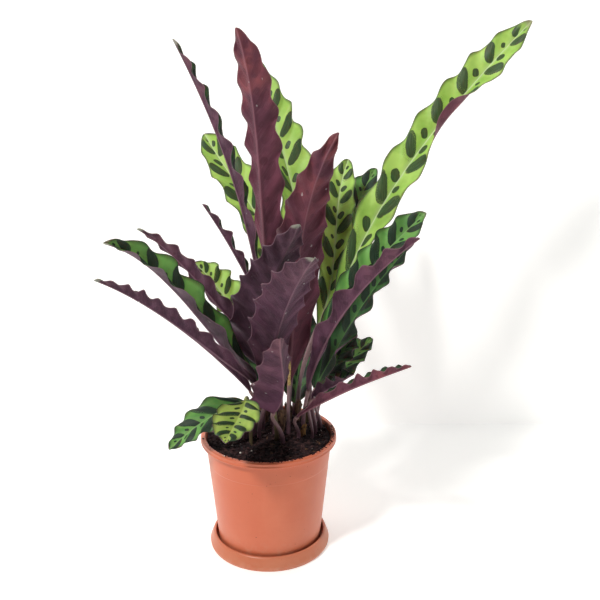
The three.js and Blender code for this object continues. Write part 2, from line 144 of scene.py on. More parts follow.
LEAVES: tuple[Leaf, ...] = (
    Leaf("leaf_01", (12, 10), 4, 20, 7, 4,
         ((5, 8, 229), (-3, -5, 324), (-8, -14, 409), (-22, -20, 487)), ((57, 5), (72, 5)), (42, 34),
         under=UnderTone.ROSE, blunt=9),
    Leaf("leaf_02", (19, 2), 3.8, 25, 7, 4.2,
         ((20, 4, 166), (26, -26, 260), (36, -54, 341), (60, -80, 409)), ((90, 20), (95, 25)),
         (24, 20), under=UnderTone.ROSE, blunt=3),
    Leaf("leaf_03", (3, 23), 3.6, 11.5, 7, 3,
         ((-8, 30, 240), (-23, 27, 328), (-48, 20, 408), (-78, 10, 478)), ((4, 20), (0, 20)), (38, 34),
         under=UnderTone.MAROON, dry=0.6),
    Leaf("leaf_04", (10, 30), 3.6, 21, 5, 5,
         ((3, 48, 234), (-2, 68, 291), (-31, 93, 338), (-66, 124, 386)), ((-80, 30), (-80, 40)),
         (25, 25), upper=UpperTone.LIME, blunt=11),
    Leaf("leaf_05", (19, 33), 4, 25, 7, 4.4,
         ((32, 58, 231), (28, 78, 310), (9, 101, 385), (-14, 128, 459)), ((-64, 20), (-62, 25)),
         (30, 26), upper=UpperTone.LIME),
    Leaf("leaf_06", (37, 31), 4.4, 21, 7, 4.6,
         ((66, 54, 227), (113, 73, 327), (177, 87, 415), (248, 96, 494)), ((-118, 25), (-115, 30)),
         (26, 22), upper=UpperTone.LIME, under=UnderTone.ROSE, dry=0.5, blunt=10,
         curl=(1, 0.64, 0.1, 86), young=True, green_stem=True),
    Leaf("leaf_07", (28, 34), 3.8, 18, 5, 5,
         ((48, 50, 208), (63, 76, 259), (68, 104, 311), (80, 134, 359)), ((-85, 30), (-85, 45)),
         (25, 25), upper=UpperTone.LIME, blunt=9),
    Leaf("leaf_08", (27, 43), 3.8, 18, 5, 5,
         ((53, 72, 204), (71, 102, 250), (86, 135, 298), (112, 172, 344)), ((-95, 35), (-100, 45)),
         (25, 25), upper=UpperTone.MID, blunt=9),
    Leaf("leaf_09", (42, 27), 3.8, 18, 5, 4.5,
         ((51, 30, 201), (80, 36, 245), (112, 39, 285), (148, 41, 322)), ((-105, 42), (-105, 45)),
         (22, 20), upper=UpperTone.MID, dry=0.3, blunt=10),
    Leaf("leaf_10", (33, -1), 4, 13, 5, 4.4,
         ((38, -16, 167), (58, -44, 234), (89, -68, 287), (125, -88, 327)), ((112, 62), (110, 70)),
         (46, 46), under=UnderTone.MAROON, blunt=5),
    Leaf("leaf_11", (45, 6), 3.8, 19, 5, 4.5,
         ((45, 4, 160), (71, 3, 213), (99, -2, 262), (131, -10, 305)), ((-140, 50), (-140, 50)),
         (22, 20)),
    Leaf("leaf_12", (50, 14), 3.8, 19, 4, 4.5,
         ((47, 8, 153), (58, 15, 172), (70, 23, 189), (85, 30, 205)), ((-120, 45), (-120, 50)),
         (22, 20)),
    Leaf("leaf_13", (47, 29), 3.4, 15, 4, 4,
         ((54, 36, 140), (69, 55, 154), (86, 73, 167), (105, 92, 179)), ((-100, 50), (-100, 50)),
         (25, 22), upper=UpperTone.MID),
    Leaf("leaf_14", (29, -8), 3.6, 8.5, 6, 2.6,
         ((28, -22, 142), (60, -46, 173), (92, -69, 198), (122, -90, 219)), ((100, 72), (100, 76)),
         (50, 48), under=UnderTone.ROSE),
    Leaf("leaf_15", (42, -6), 3.2, 11, 4, 2.6,
         ((42, -12, 156), (54, -24, 170), (66, -34, 182), (78, -42, 193)), ((100, 62), (100, 122)),
         (50, 45)),
    Leaf("leaf_16", (8, -10), 4, 26, 7, 2.9,
         ((4, -24, 175), (10, -66, 234), (23, -105, 284), (40, -140, 324)), ((112, 38), (110, 42)),
         (30, 27), dry=0.7, green_stem=True),
    Leaf("leaf_17", (6, 1), 4, 28, 7, 3.3,
         ((-3, -4, 183), (-5, -41, 244), (11, -77, 297), (29, -110, 343)), ((106, 35), (106, 40)),
         (26, 22), under=UnderTone.DUSK, dry=0.7, blunt=3.2, opening=8),
    Leaf("leaf_18", (14, -16), 4, 29, 4, 2,
         ((6, -27, 148), (15, -54, 180), (15, -84, 217), (14, -112, 251)), ((134, 30), (132, 36)),
         (44, 40), under=UnderTone.MAROON, blunt=2.2, opening=30, vein=62),
    Leaf("leaf_19", (-6, 14), 3.6, 13, 6, 2.3,
         ((-13, 6, 203), (-45, -9, 248), (-75, -22, 290), (-109, -34, 323)), ((62, 50), (62, 50)),
         (24, 14), upper=UpperTone.MID, under=UnderTone.MAROON, dry=1),
    Leaf("leaf_20", (-7, 22), 3.4, 20, 5, 3.6,
         ((-14, 22, 208), (-33, 28, 231), (-51, 33, 254), (-70, 36, 275)), ((-60, 45), (-60, 50)),
         (25, 22), upper=UpperTone.LIME, young=True, green_stem=True),
    Leaf("leaf_21", (-15, -3), 3.8, 18, 5, 3.4,
         ((-12, -21, 175), (-49, -47, 236), (-86, -67, 290), (-126, -88, 323)), ((-8, 56), (-50, 46)),
         (50, 48), upper=UpperTone.MID, under=UnderTone.DUSK, dry=0.8, opening=10),
    Leaf("leaf_22", (-9, -6), 3.8, 12.5, 9, 2,
         ((-8, -34, 178), (-50, -69, 229), (-89, -96, 271), (-128, -118, 301)), ((65, 68), (62, 66)),
         (38, 36), upper=UpperTone.MID, dry=0.8),
    Leaf("leaf_23", (-14, 6), 3.2, 10, 5, 2,
         ((-17, -8, 162), (-40, -24, 196), (-64, -38, 225), (-89, -50, 250)), ((65, 68), (65, 68)),
         (48, 46)),
    Leaf("leaf_24", (-4, 31), 3.2, 7.5, 4, 3,
         ((-13, 44, 239), (-27, 48, 270), (-44, 51, 300), (-62, 52, 328)), ((14, 25), (14, 25)),
         (40, 36)),
    Leaf("leaf_25", (-22, -8), 3.6, 18, 4, 2.7,
         ((-20, -16, 153), (-45, -28, 149), (-68, -38, 137), (-89, -46, 121)),
         ((-110, 58), (-110, 54)), (18, 16), upper=UpperTone.MID, blunt=3.4),
    Leaf("leaf_26", (-16, -18), 3.4, 20, 4, 3,
         ((-19, -42, 167), (-22, -64, 164), (-27, -85, 161), (-32, -104, 156)),
         ((-100, 62), (-100, 55)), (16, 14), upper=UpperTone.YELLOW, young=True, green_stem=True),
    Leaf("leaf_27", (8, 47), 3.6, 19, 5, 2.4,
         ((5, 49, 124), (-3, 56, 148), (-12, 65, 172), (-24, 76, 194)), ((-85, 30), (-85, 45)),
         (22, 20), opening=8),
    Leaf("leaf_28", (24, 48), 3.6, 19, 5, 2.4,
         ((24, 51, 124), (28, 70, 148), (33, 88, 176), (40, 104, 204)), ((-85, 30), (-85, 45)),
         (22, 20), opening=8),
)


def turn_to(azimuth: np.ndarray, elevation: np.ndarray) -> np.ndarray:
    """Gives directions.

    Args:
        azimuth: Each direction's azimuth, in degrees.
        elevation: Each direction's elevation, in degrees.

    Returns:
        One row of x, y and z for each direction.
    """
    turn, lift = np.radians(azimuth), np.radians(elevation)
    flat = np.cos(lift)
    return np.stack([flat * np.cos(turn), flat * np.sin(turn), np.sin(lift)], -1)


def unit(rows: np.ndarray) -> np.ndarray:
    """Scales each row to length 1."""
    return rows / np.maximum(np.linalg.norm(rows, axis=-1, keepdims=True), 1e-12)


def bell(value: np.ndarray, spread: float) -> np.ndarray:
    """Gives 1 where a value is 0, falling off smoothly over a spread."""
    return np.exp(-((value / spread) ** 2))


def cubic(controls: Sequence[Any], t: Any) -> Any:
    """Gives a place on a cubic curve with four control points."""
    (a, b, c, d), r = controls, 1 - t
    return r**3 * a + 3 * r * r * t * b + 3 * r * t * t * c + t**3 * d


@dataclass(frozen=True)
class Ribbon:
    """The curved, folded and waved middle surface of one leaf, in millimetres."""

    leaf: Leaf
    base_half: float = 1.7
    tip_half: float = 0.6
    rounding: float = 0.85
    crowding: float = 1.5
    fade: float = 0.4
    scallop: float = 0.09
    flatness: float = 1.5
    pillow: float = 0.05
    swing_change: float = 0.28
    swing_change_rate: float = 1.9
    curl_start: float = 0.6
    curl_steps: int = 16
    ripple: float = 0.22
    ripple_rate: float = 2.3
    ripple_shift: float = 1.3
    beat_rate: float = 0.9
    beat_shift: float = 2.1
    quilt: float = 0.16
    quilts_per_wave: float = 7.0
    steepest: float = 0.9
    least_half: float = 4.0

    @property
    def slant(self) -> float:
        """How many waves a vein runs along the blade on its way from rib to edge."""
        ratio = float(self._wave_length(np.array([0.5]))[0]) / self.leaf.half_width
        return min(self.steepest, 1 / (math.tan(math.radians(self.leaf.vein)) * ratio))

    def _wave_length(self, share: np.ndarray, step: float = 1e-3) -> np.ndarray:
        """Measures the waves.

        Args:
            share: Shares of the blade's length.
            step: The step that the measure takes to either side.

        Returns:
            How long a wave is at each share.
        """
        before, after = np.clip(share - step, 0, 1), np.clip(share + step, 0, 1)
        length = np.linalg.norm(self.place(after) - self.place(before), axis=-1)
        return length / np.maximum(self.wave(after) - self.wave(before), 1e-4)

    def _controls(self) -> np.ndarray:
        """Finds the cubic curve that runs through the rib's four points.

        Returns:
            The curve's four control points.
        """
        base, third, two_thirds, tip = (np.array(point, float) for point in self.leaf.rib)
        early = (-5 * base + 18 * third - 9 * two_thirds + 2 * tip) / 6
        late = (2 * base - 9 * third + 18 * two_thirds - 5 * tip) / 6
        return np.stack([base, early, late, tip])

    def place(self, share: np.ndarray) -> np.ndarray:
        """Gives points on the rib at some shares of its length."""
        return cubic(self._controls(), share[..., None])

    def forward(self, share: np.ndarray) -> np.ndarray:
        """Follows the rib.

        Args:
            share: Shares of its length.

        Returns:
            The rib's direction at each share.
        """
        t, r = share[..., None], 1 - share[..., None]
        a, b, c, d = self._controls()
        return unit(r * r * (b - a) + 2 * r * t * (c - b) + t * t * (d - c))

    def normal(self, share: np.ndarray) -> np.ndarray:
        """Turns the upper side to where it looks.

        Args:
            share: Shares of the blade's length.

        Returns:
            The way the upper side looks at each share, square to the rib.
        """
        (turn, lift), (tip_turn, tip_lift) = self.leaf.faces
        look = turn_to(turn + (tip_turn - turn) * share, lift + (tip_lift - lift) * share)
        ahead = self.forward(share)
        return unit(look - ahead * (look * ahead).sum(-1, keepdims=True))

    def half_width(self, share: np.ndarray) -> np.ndarray:
        """Gives the blade's outline, before its scallops.

        Args:
            share: Shares of the blade's length.

        Returns:
            The distance from rib to edge at each share.
        """
        narrow = self.base_half + (self.tip_half - self.base_half) * share
        opening = 1 - (1 - share) ** self.leaf.opening
        closing = (1 - share**self.leaf.blunt) ** self.rounding
        return narrow + (self.leaf.half_width - narrow) * (opening * closing)

    def wave(self, share: np.ndarray) -> np.ndarray:
        """Gives how many waves lie between the base and some shares of the length."""
        return self.leaf.waves * share**self.crowding

    def _roll_share(self, share: np.ndarray, side: np.ndarray) -> np.ndarray:
        """Gives how far a side rolls over, as shares of its full roll."""
        roll_side, centre, spread, _ = self.leaf.curl
        return np.where(side * roll_side > 0, bell(share - centre, spread), 0)

    def _half_path(self, out: np.ndarray, share: np.ndarray,
                   side: np.ndarray) -> tuple[np.ndarray, np.ndarray]:
        """Follows the blade from the rib outwards.

        Args:
            out: From 0 at the rib to 1 at the edge.
            share: Shares of the blade's length.
            side: -1 on the left half and 1 on the right.

        Returns:
            The way sideways and the way up, as shares of the half width.
        """
        fold = np.radians(self.leaf.fold[0] + (self.leaf.fold[1] - self.leaf.fold[0]) * share)
        roll = self._roll_share(share, side) * math.radians(self.leaf.curl[3])
        across, rise = np.zeros_like(out), np.zeros_like(out)
        for step in range(self.curl_steps):
            turned = np.clip(out * (step + 0.5) / self.curl_steps / self.curl_start, 0, 1)
            angle = fold + roll * turned * turned * (3 - 2 * turned)
            across += np.cos(angle) / self.curl_steps
            rise += np.sin(angle) / self.curl_steps
        return across * out, rise * out

    def vein_shear(self, share: np.ndarray) -> np.ndarray:
        """Measures how far a mark across the veins leans, so that its ends stay square.

        Args:
            share: Shares of the blade's length.

        Returns:
            The lean at each share.
        """
        inner = np.clip(share, 0.03, 0.97)
        ratio = self._wave_length(inner) / np.maximum(self.half_width(inner), self.least_half)
        return np.clip(self.slant * ratio**2 / (1 + (self.slant * ratio) ** 2), 0, 2)

    def _relief(self, side: np.ndarray, out: np.ndarray, share: np.ndarray) -> np.ndarray:
        """Makes the waves of the edge and the soft quilting between the veins.

        Args:
            side: -1 on the left half and 1 on the right.
            out: From 0 at the rib to 1 at the edge.
            share: Shares of the blade's length.

        Returns:
            The height over the folded blade.
        """
        leaf, wave, slant = self.leaf, self.wave(share), self.slant
        angle = self._edge_angle(side, share) + 2 * math.pi * slant * (1 - out)
        change = self.swing_change * np.sin(self.swing_change_rate * wave + leaf.seed + side)
        swing = leaf.swing * (1 + change) * np.cos(angle) * out**self.flatness
        flutter = self.ripple * leaf.swing * out**3
        flutter = flutter * np.sin(self.ripple_rate * angle + self.ripple_shift * leaf.seed + 2 * side)
        flutter = flutter * np.sin(self.beat_rate * wave + self.beat_shift * leaf.seed)
        pillow = self.pillow * self._waved_half(side, share) * np.sin(math.pi * out)
        vein = 2 * math.pi * self.quilts_per_wave * (wave - slant * out)
        quilt = self.quilt * np.sin(vein) * np.sin(math.pi * out)
        free = self._fading(share) * (1 - self._roll_share(share, side))
        return free * (swing + flutter + pillow + quilt)

    def _fading(self, share: np.ndarray) -> np.ndarray:
        """Gives how free the blade is to wave: least at its base and its tip."""
        return np.maximum(np.sin(math.pi * share), 0) ** self.fade

    def _edge_angle(self, side: np.ndarray, share: np.ndarray) -> np.ndarray:
        """Gives how far the edge's wave has turned, a quarter ahead on the right."""
        return 2 * math.pi * self.wave(share) + np.where(side > 0, math.pi / 2, 0.0)

    def _waved_half(self, side: np.ndarray, share: np.ndarray) -> np.ndarray:
        """Gives the distance from rib to edge, with its scallops."""
        scallop = self.scallop * self._fading(share) * np.sin(self._edge_angle(side, share))
        return self.half_width(share) * (1 + scallop)

    def middle(self, across: np.ndarray, share: np.ndarray) -> np.ndarray:
        """Gives points of the middle surface.

        Args:
            across: From -1 at the left edge through 0 at the rib to 1 at the right edge.
            share: From 0 at the blade's base to 1 at its tip.

        Returns:
            The points, in millimetres.
        """
        side, out = np.sign(across), np.abs(across)
        half = self._waved_half(side, share)
        sideways_way, up_way = self._half_path(out, share, side)
        height = half * up_way + self._relief(side, out, share)
        ahead, up = self.forward(share), self.normal(share)
        sideways = np.cross(ahead, up)
        point = self.place(share) + sideways * (side * half * sideways_way)[..., None]
        return point + up * height[..., None]

    def look(self, across: np.ndarray, share: np.ndarray, step_across: float = 0.02,
             step_share: float = 0.002) -> np.ndarray:
        """Measures which way the middle surface looks.

        Args:
            across: From -1 at the left edge through 0 at the rib to 1 at the right edge.
            share: From 0 at the blade's base to 1 at its tip.
            step_across: The step that the measure takes to the left and right.
            step_share: The step that it takes back and forth.

        Returns:
            The surface's own normals, on the upper side.
        """
        left = self.middle(np.clip(across - step_across, -1, 1), share)
        right = self.middle(np.clip(across + step_across, -1, 1), share)
        back = self.middle(across, np.clip(share - step_share, 0, 1))
        front = self.middle(across, np.clip(share + step_share, 0, 1))
        return unit(np.cross(right - left, front - back))


@dataclass
class Blade:
    """One leaf blade as a closed, thin, finely waved sheet with a ridge under its rib."""

    leaf: Leaf
    columns: int = 26
    rows_per_wave: int = 20
    base_rows: int = 16
    flat_gap: float = 0.2
    thickness: float = 0.6
    edge_thinning: float = 0.35
    ridge: float = 1.2
    ridge_spread: float = 1.25
    ridge_seat: float = 0.35
    groove: float = 0.3
    groove_spread: float = 0.8
    crowd_at_rib: float = 0.35
    ribbon: Ribbon = field(init=False)

    def __post_init__(self) -> None:
        """Makes the middle surface that the blade is built round."""
        self.ribbon = Ribbon(self.leaf)

    def _sheet(self) -> Shape:
        """Makes a flat closed sheet.

        Returns:
            The sheet: x from -1 to 1 across, y from 0 to 1 along, and z over 0 on its upper side.
        """
        bm = bmesh.new()
        rows = self.leaf.waves * self.rows_per_wave + self.base_rows
        bmesh.ops.create_grid(bm, x_segments=self.columns, y_segments=rows, size=1)
        bmesh.ops.transform(bm, matrix=Matrix.Diagonal((1, 0.5, 1, 1)), verts=bm.verts)
        bmesh.ops.translate(bm, vec=(0, 0.5, 0), verts=bm.verts)
        bmesh.ops.solidify(bm, geom=bm.faces[:], thickness=self.flat_gap)
        heights = [vert.co.z for vert in bm.verts]
        bmesh.ops.translate(bm, vec=(0, 0, -(min(heights) + max(heights)) / 2), verts=bm.verts)
        return bm

    def _offset(self, out: np.ndarray, share: np.ndarray, upper: np.ndarray) -> np.ndarray:
        """Gives the blade its thickness, its ridge below and its groove above.

        Args:
            out: From 0 at the rib to 1 at the edge.
            share: Shares of the blade's length.
            upper: Whether each point is on the upper side.

        Returns:
            How far each point stands off the middle surface.
        """
        thick = self.thickness * (1 - self.edge_thinning * out**6)
        from_rib = out * self.ribbon.half_width(share)
        rise = self.ridge_seat + self.ridge * (1 - share) * np.minimum(1, self.ribbon.wave(share))
        ridge = rise * bell(from_rib, self.ridge_spread)
        groove = self.groove * bell(from_rib, self.groove_spread)
        return np.where(upper, thick / 2 - groove, -thick / 2 - ridge)

    def _place(self, bm: Shape, across: np.ndarray, share: np.ndarray, upper: np.ndarray) -> None:
        """Moves the sheet's points to their places and gives them the marks' attributes.

        Args:
            bm: The flat sheet.
            across: Each point's place between the left and the right edge.
            share: Its place along the blade.
            upper: Whether it is on the upper side.
        """
        out = np.abs(across)
        half, wave = self.ribbon.half_width(share), self.ribbon.wave(share)
        offset = self._offset(out, share, upper)
        look = self.ribbon.look(across, share)
        points = (self.ribbon.middle(across, share) + look * offset[:, None]) * MM
        shear = self.ribbon.vein_shear(share)
        own = np.array((self.leaf.seed, self.leaf.dry, self.ribbon.slant))
        attributes = {
            "blade": np.stack([across, wave, share], -1),
            "span": np.stack([out * half, (1 - out) * half, shear], -1),
            "trait": np.broadcast_to(own, points.shape),
        }
        for name, values in attributes.items():
            layer = bm.verts.layers.float_vector.new(name)
            for vert, value in zip(bm.verts, values):
                vert[layer] = value
        for vert, point in zip(bm.verts, points):
            vert.co = point

    @staticmethod
    def _part_sides(bm: Shape, upper: np.ndarray) -> None:
        """Gives each side its material's number, and the sheet a crisp rim.

        Args:
            bm: The blade.
            upper: Whether each point is on the upper side.
        """
        for face in bm.faces:
            face.material_index = 0 if all(upper[vert.index] for vert in face.verts) else 1
            face.smooth = True
        for edge in bm.edges:
            one_sided = len({bool(upper[vert.index]) for vert in edge.verts}) == 1
            kinds = {len({bool(upper[vert.index]) for vert in face.verts})
                     for face in edge.link_faces}
            edge.smooth = not (kinds == {1, 2} and one_sided)

    def build(self) -> bpy.types.Object:
        """Makes the blade.

        Returns:
            Its object, which takes the upper side's material first and the underside's second.
        """
        bm = self._sheet()
        flat = np.array([vert.co for vert in bm.verts])
        upper = flat[:, 2] > 0
        t = flat[:, 0]
        across = np.clip(t * (1 - self.crowd_at_rib + self.crowd_at_rib * np.abs(t)), -1, 1)
        self._place(bm, across, np.clip(flat[:, 1], 0, 1), upper)
        self._part_sides(bm, upper)
        bmesh.ops.recalc_face_normals(bm, faces=bm.faces)
        return to_object(bm, f"{self.leaf.name}_blade_fine")


def to_object(bm: Shape, name: str) -> bpy.types.Object:
    """Turns a bmesh into an object at the origin and frees the bmesh.

    Args:
        bm: The finished shape, in metres.
        name: The new object's name.

    Returns:
        The object, linked to the scene.
    """
    mesh = bpy.data.meshes.new(name)
    bm.to_mesh(mesh)
    bm.free()
    made = bpy.data.objects.new(name, mesh)
    bpy.context.scene.collection.objects.link(made)
    return made


@dataclass
class Stem:
    """One leaf stem: a round tube with a clasping foot and a swollen joint at the blade."""

    leaf: Leaf
    sides: int = 16
    soil_top: float = 112.0
    depth: float = 14.0
    straight: float = 3.0
    pull: float = 0.4
    seat_gap: float = 0.3
    steps: int = 30
    slim: float = 0.86
    swelling: float = 0.12
    sheath_reach: float = 0.3
    sheath_wide: float = 0.08
    sheath_thin: float = 0.03
    joint_reach: float = 9.0

    def _route(self) -> list[Vector]:
        """Finds the way from the foot to just under the rib.

        Returns:
            The points that the tube's rings stand at.
        """
        ribbon = Ribbon(self.leaf)
        zero = np.array([0.0])
        ahead = Vector(ribbon.forward(zero)[0])
        end = Vector(ribbon.place(zero)[0]) - ahead * self.seat_gap
        foot = Vector((*self.leaf.foot, self.soil_top - self.depth))
        leaving = Vector((*self.leaf.foot, self.soil_top + self.straight))
        reach = self.pull * (end - leaving).length
        controls = (leaving, leaving + Vector((0, 0, reach)), end - ahead * reach, end)
        curve = [cubic(controls, step / self.steps) for step in range(self.steps + 1)]
        return [foot, foot.lerp(leaving, 0.5), *curve]

    def _radius(self, share: float, length: float) -> Pair:
        """Gives the tube's size.

        Args:
            share: A share of its length, from the foot.
            length: The whole length.

        Returns:
            The half widths, across and through.
        """
        sheath = math.exp(-((share / self.sheath_reach) ** 2))
        joint = math.exp(-(((1 - share) * length / self.joint_reach) ** 4))
        half = self.leaf.stem / 2 * (self.slim + self.swelling * sheath + self.swelling * joint)
        return half * (1 + self.sheath_wide * sheath), half * (1 - self.sheath_thin * sheath)

    def build(self) -> bpy.types.Object:
        """Makes the stem by drawing a ring along its route.

        Returns:
            Its object.
        """
        route = self._route()
        length = sum((b - a).length for a, b in zip(route, route[1:]))
        bm = bmesh.new()
        layer = bm.verts.layers.float_vector.new("stalk")
        bmesh.ops.create_circle(bm, cap_ends=False, segments=self.sides, radius=1)
        ring = bm.edges[:]
        axis_x, before = Vector((1, 0, 0)), Matrix.Identity(4)
        for index, point in enumerate(route):
            share = index / (len(route) - 1)
            ahead = (route[min(index + 1, len(route) - 1)] - route[max(index - 1, 0)]).normalized()
            axis_x = (axis_x - ahead * axis_x.dot(ahead)).normalized()
            wide, deep = self._radius(share, length)
            now = Matrix((
                (*(axis_x * wide), 0), (*(ahead.cross(axis_x) * deep), 0), (*ahead, 0), (*point, 1),
            )).transposed()
            if index:
                grown = bmesh.ops.extrude_edge_only(bm, edges=ring)["geom"]
                ring = [item for item in grown if isinstance(item, bmesh.types.BMEdge)]
            verts = list({vert for edge in ring for vert in edge.verts})
            bmesh.ops.transform(bm, matrix=now @ before.inverted(), verts=verts)
            for vert in verts:
                vert[layer] = (share, self.leaf.seed, 0)
            before = now
        bmesh.ops.holes_fill(bm, edges=bm.edges, sides=self.sides)
        bmesh.ops.transform(bm, matrix=TO_METRES, verts=bm.verts)
        bmesh.ops.recalc_face_normals(bm, faces=bm.faces)
        for face in bm.faces:
            face.smooth = len(face.verts) == 4
        return to_object(bm, f"{self.leaf.name}_stem_fine")


class Graph:
    """Short ways to add nodes to one node tree and wire them."""

    MIX_INPUTS = (0, 6, 7)
    MIX_RESULT = 2

    def __init__(self, tree: bpy.types.NodeTree) -> None:
        """Keeps the tree that nodes are added to."""
        self.tree = tree

    def node(self, kind: str, **settings: object) -> bpy.types.Node:
        """Adds a node.

        Args:
            kind: Its type.
            settings: Its properties.

        Returns:
            The node.
        """
        made = self.tree.nodes.new(kind)
        for name, value in settings.items():
            setattr(made, name, value)
        return made

    def wire(self, value: object, socket: Socket) -> None:
        """Feeds an input.

        Args:
            value: A socket to join it to, or the number or colour that it is set to.
            socket: The input.
        """
        if isinstance(value, bpy.types.NodeSocket):
            self.tree.links.new(value, socket)
        else:
            socket.default_value = value

    def feed(self, node: bpy.types.Node, values: dict[str, object]) -> None:
        """Feeds some of a node's inputs by their names."""
        for label, value in values.items():
            self.wire(value, node.inputs[label])

    def math(self, operation: str, *values: object) -> Socket:
        """Adds a Math node.

        Args:
            operation: The node's operation.
            values: Its inputs, as sockets or numbers.

        Returns:
            The node's output.
        """
        made = self.node("ShaderNodeMath", operation=operation)
        for value, socket in zip(values, made.inputs):
            self.wire(value, socket)
        return made.outputs[0]

    def plus(self, first: object, second: object) -> Socket:
        """Adds two values."""
        return self.math("ADD", first, second)

    def minus(self, first: object, second: object) -> Socket:
        """Takes the second value from the first."""
        return self.math("SUBTRACT", first, second)

    def times(self, first: object, second: object) -> Socket:
        """Multiplies two values."""
        return self.math("MULTIPLY", first, second)

    def over(self, first: object, second: object) -> Socket:
        """Divides the first value by the second."""
        return self.math("DIVIDE", first, second)

    def line(self, value: object, slope: object, start: object) -> Socket:
        """Multiplies a value by a slope and adds a start."""
        return self.math("MULTIPLY_ADD", value, slope, start)

    def around(self, middle: float, spread: float, value: object) -> Socket:
        """Turns a value from 0 to 1 into one that differs round a middle."""
        return self.line(value, spread, middle - spread / 2)

    def step(self, value: object, low: float, high: float) -> Socket:
        """Adds a smooth step.

        Args:
            value: The value that the step is taken over.
            low: Where the step is 0.
            high: Where it is 1, which may be the smaller.

        Returns:
            The step, from 0 to 1.
        """
        ends = (low, high, 0.0, 1.0) if low < high else (high, low, 1.0, 0.0)
        made = self.node("ShaderNodeMapRange", interpolation_type="SMOOTHSTEP")
        labels = ("Value", "From Min", "From Max", "To Min", "To Max")
        self.feed(made, dict(zip(labels, (value, *ends))))
        return made.outputs["Result"]

    def mix(self, share: object, first: object, second: object) -> Socket:
        """Mixes two colours.

        Args:
            share: The second colour's share.
            first: The first colour.
            second: The second colour.

        Returns:
            The mixed colour.
        """
        made = self.node("ShaderNodeMix", data_type="RGBA")
        for value, number in zip((share, first, second), self.MIX_INPUTS):
            self.wire((*value, 1.0) if isinstance(value, tuple) else value, made.inputs[number])
        return made.outputs[self.MIX_RESULT]

    def coats(self, ground: object, *coats: tuple[Socket, float, Colour]) -> Socket:
        """Lays thin coats of colour over one another.

        Args:
            ground: The colour that the coats lie on.
            coats: Each coat's mask, strength and colour, the lowest first.

        Returns:
            The colour that shows.
        """
        for mask, strength, colour in coats:
            ground = self.mix(mask if strength == 1 else self.times(mask, strength), ground, colour)
        return ground

    def noise(self, place: Socket, scale: float, detail: float = 3.0,
              rough: float = 0.55) -> Socket:
        """Adds soft noise.

        Args:
            place: Where the noise is read.
            scale: How fine it is.
            detail: How many finer layers it has.
            rough: How strong the finer layers are.

        Returns:
            The noise, from 0 to 1.
        """
        made = self.node("ShaderNodeTexNoise")
        self.feed(made, {"Vector": place, "Scale": scale, "Detail": detail, "Roughness": rough})
        return made.outputs["Fac"]

    def grain(self, across: float, along: float, detail: float = 3.0,
              shift: object = 0.0) -> Socket:
        """Adds noise that is drawn out upwards, like fibres.

        Args:
            across: How fine it is sideways.
            along: How fine it is upwards.
            detail: How many finer layers it has.
            shift: What sets one piece's fibres apart from another's.

        Returns:
            The noise, from 0 to 1.
        """
        x, y, z = self.split(self.here())
        place = self.join(self.times(x, across), self.times(y, across), self.line(z, along, shift))
        return self.noise(place, 1.0, detail)

    def join(self, *values: object) -> Socket:
        """Joins numbers into a vector.

        Args:
            values: The vector's x, y and z, as sockets or numbers.

        Returns:
            The vector.
        """
        made = self.node("ShaderNodeCombineXYZ")
        self.feed(made, dict(zip("XYZ", values)))
        return made.outputs[0]

    def split(self, vector: Socket) -> tuple[Socket, ...]:
        """Splits a vector.

        Args:
            vector: The vector.

        Returns:
            Its x, y and z.
        """
        made = self.node("ShaderNodeSeparateXYZ")
        self.wire(vector, made.inputs[0])
        return tuple(made.outputs)

    def attribute(self, name: str) -> tuple[Socket, ...]:
        """Gives the three numbers of a mesh attribute."""
        return self.split(self.node("ShaderNodeAttribute", attribute_name=name).outputs["Vector"])

    def here(self) -> Socket:
        """Gives the place in the object, in metres."""
        return self.node("ShaderNodeTexCoord").outputs["Object"]

    def random(self, *seeds: object) -> tuple[Socket, ...]:
        """Draws random numbers that stay the same for the same seeds.

        Args:
            seeds: Three numbers.

        Returns:
            Three random numbers from 0 to 1.
        """
        made = self.node("ShaderNodeTexWhiteNoise", noise_dimensions="3D")
        self.wire(self.join(*seeds), made.inputs["Vector"])
        return self.split(made.outputs["Color"])


class Group:
    """A node group with named inputs and outputs, built once and used in materials."""

    def __init__(self, name: str, inputs: Iterable[str], outputs: Iterable[str]) -> None:
        """Makes the group's tree and sockets.

        Args:
            name: The group's name.
            inputs: Each input's name.
            outputs: Each output's name.
        """
        self.tree = bpy.data.node_groups.new(name, "ShaderNodeTree")
        for way, labels in (("INPUT", inputs), ("OUTPUT", outputs)):
            for label in labels:
                self.tree.interface.new_socket(label, in_out=way, socket_type="NodeSocketFloat")
        self.graph = Graph(self.tree)
        self.given = self.graph.node("NodeGroupInput").outputs
        self.result = self.graph.node("NodeGroupOutput")

    def place(self, graph: Graph, **values: float) -> dict[str, Socket]:
        """Puts the group into a material.

        Args:
            graph: The material's graph.
            values: The group's inputs there.

        Returns:
            Each output's name and socket.
        """
        made = graph.node("ShaderNodeGroup", node_tree=self.tree)
        graph.feed(made, values)
        return {socket.name: socket for socket in made.outputs}


@dataclass(frozen=True)
class OvalRow:
    """One row of ovals along a half blade.

    Lengths along the blade are shares of a wave, and across it shares of the half width.
    """

    start: float
    half_long: float
    half_wide: float
    centre: float
    spread: float
    key: float


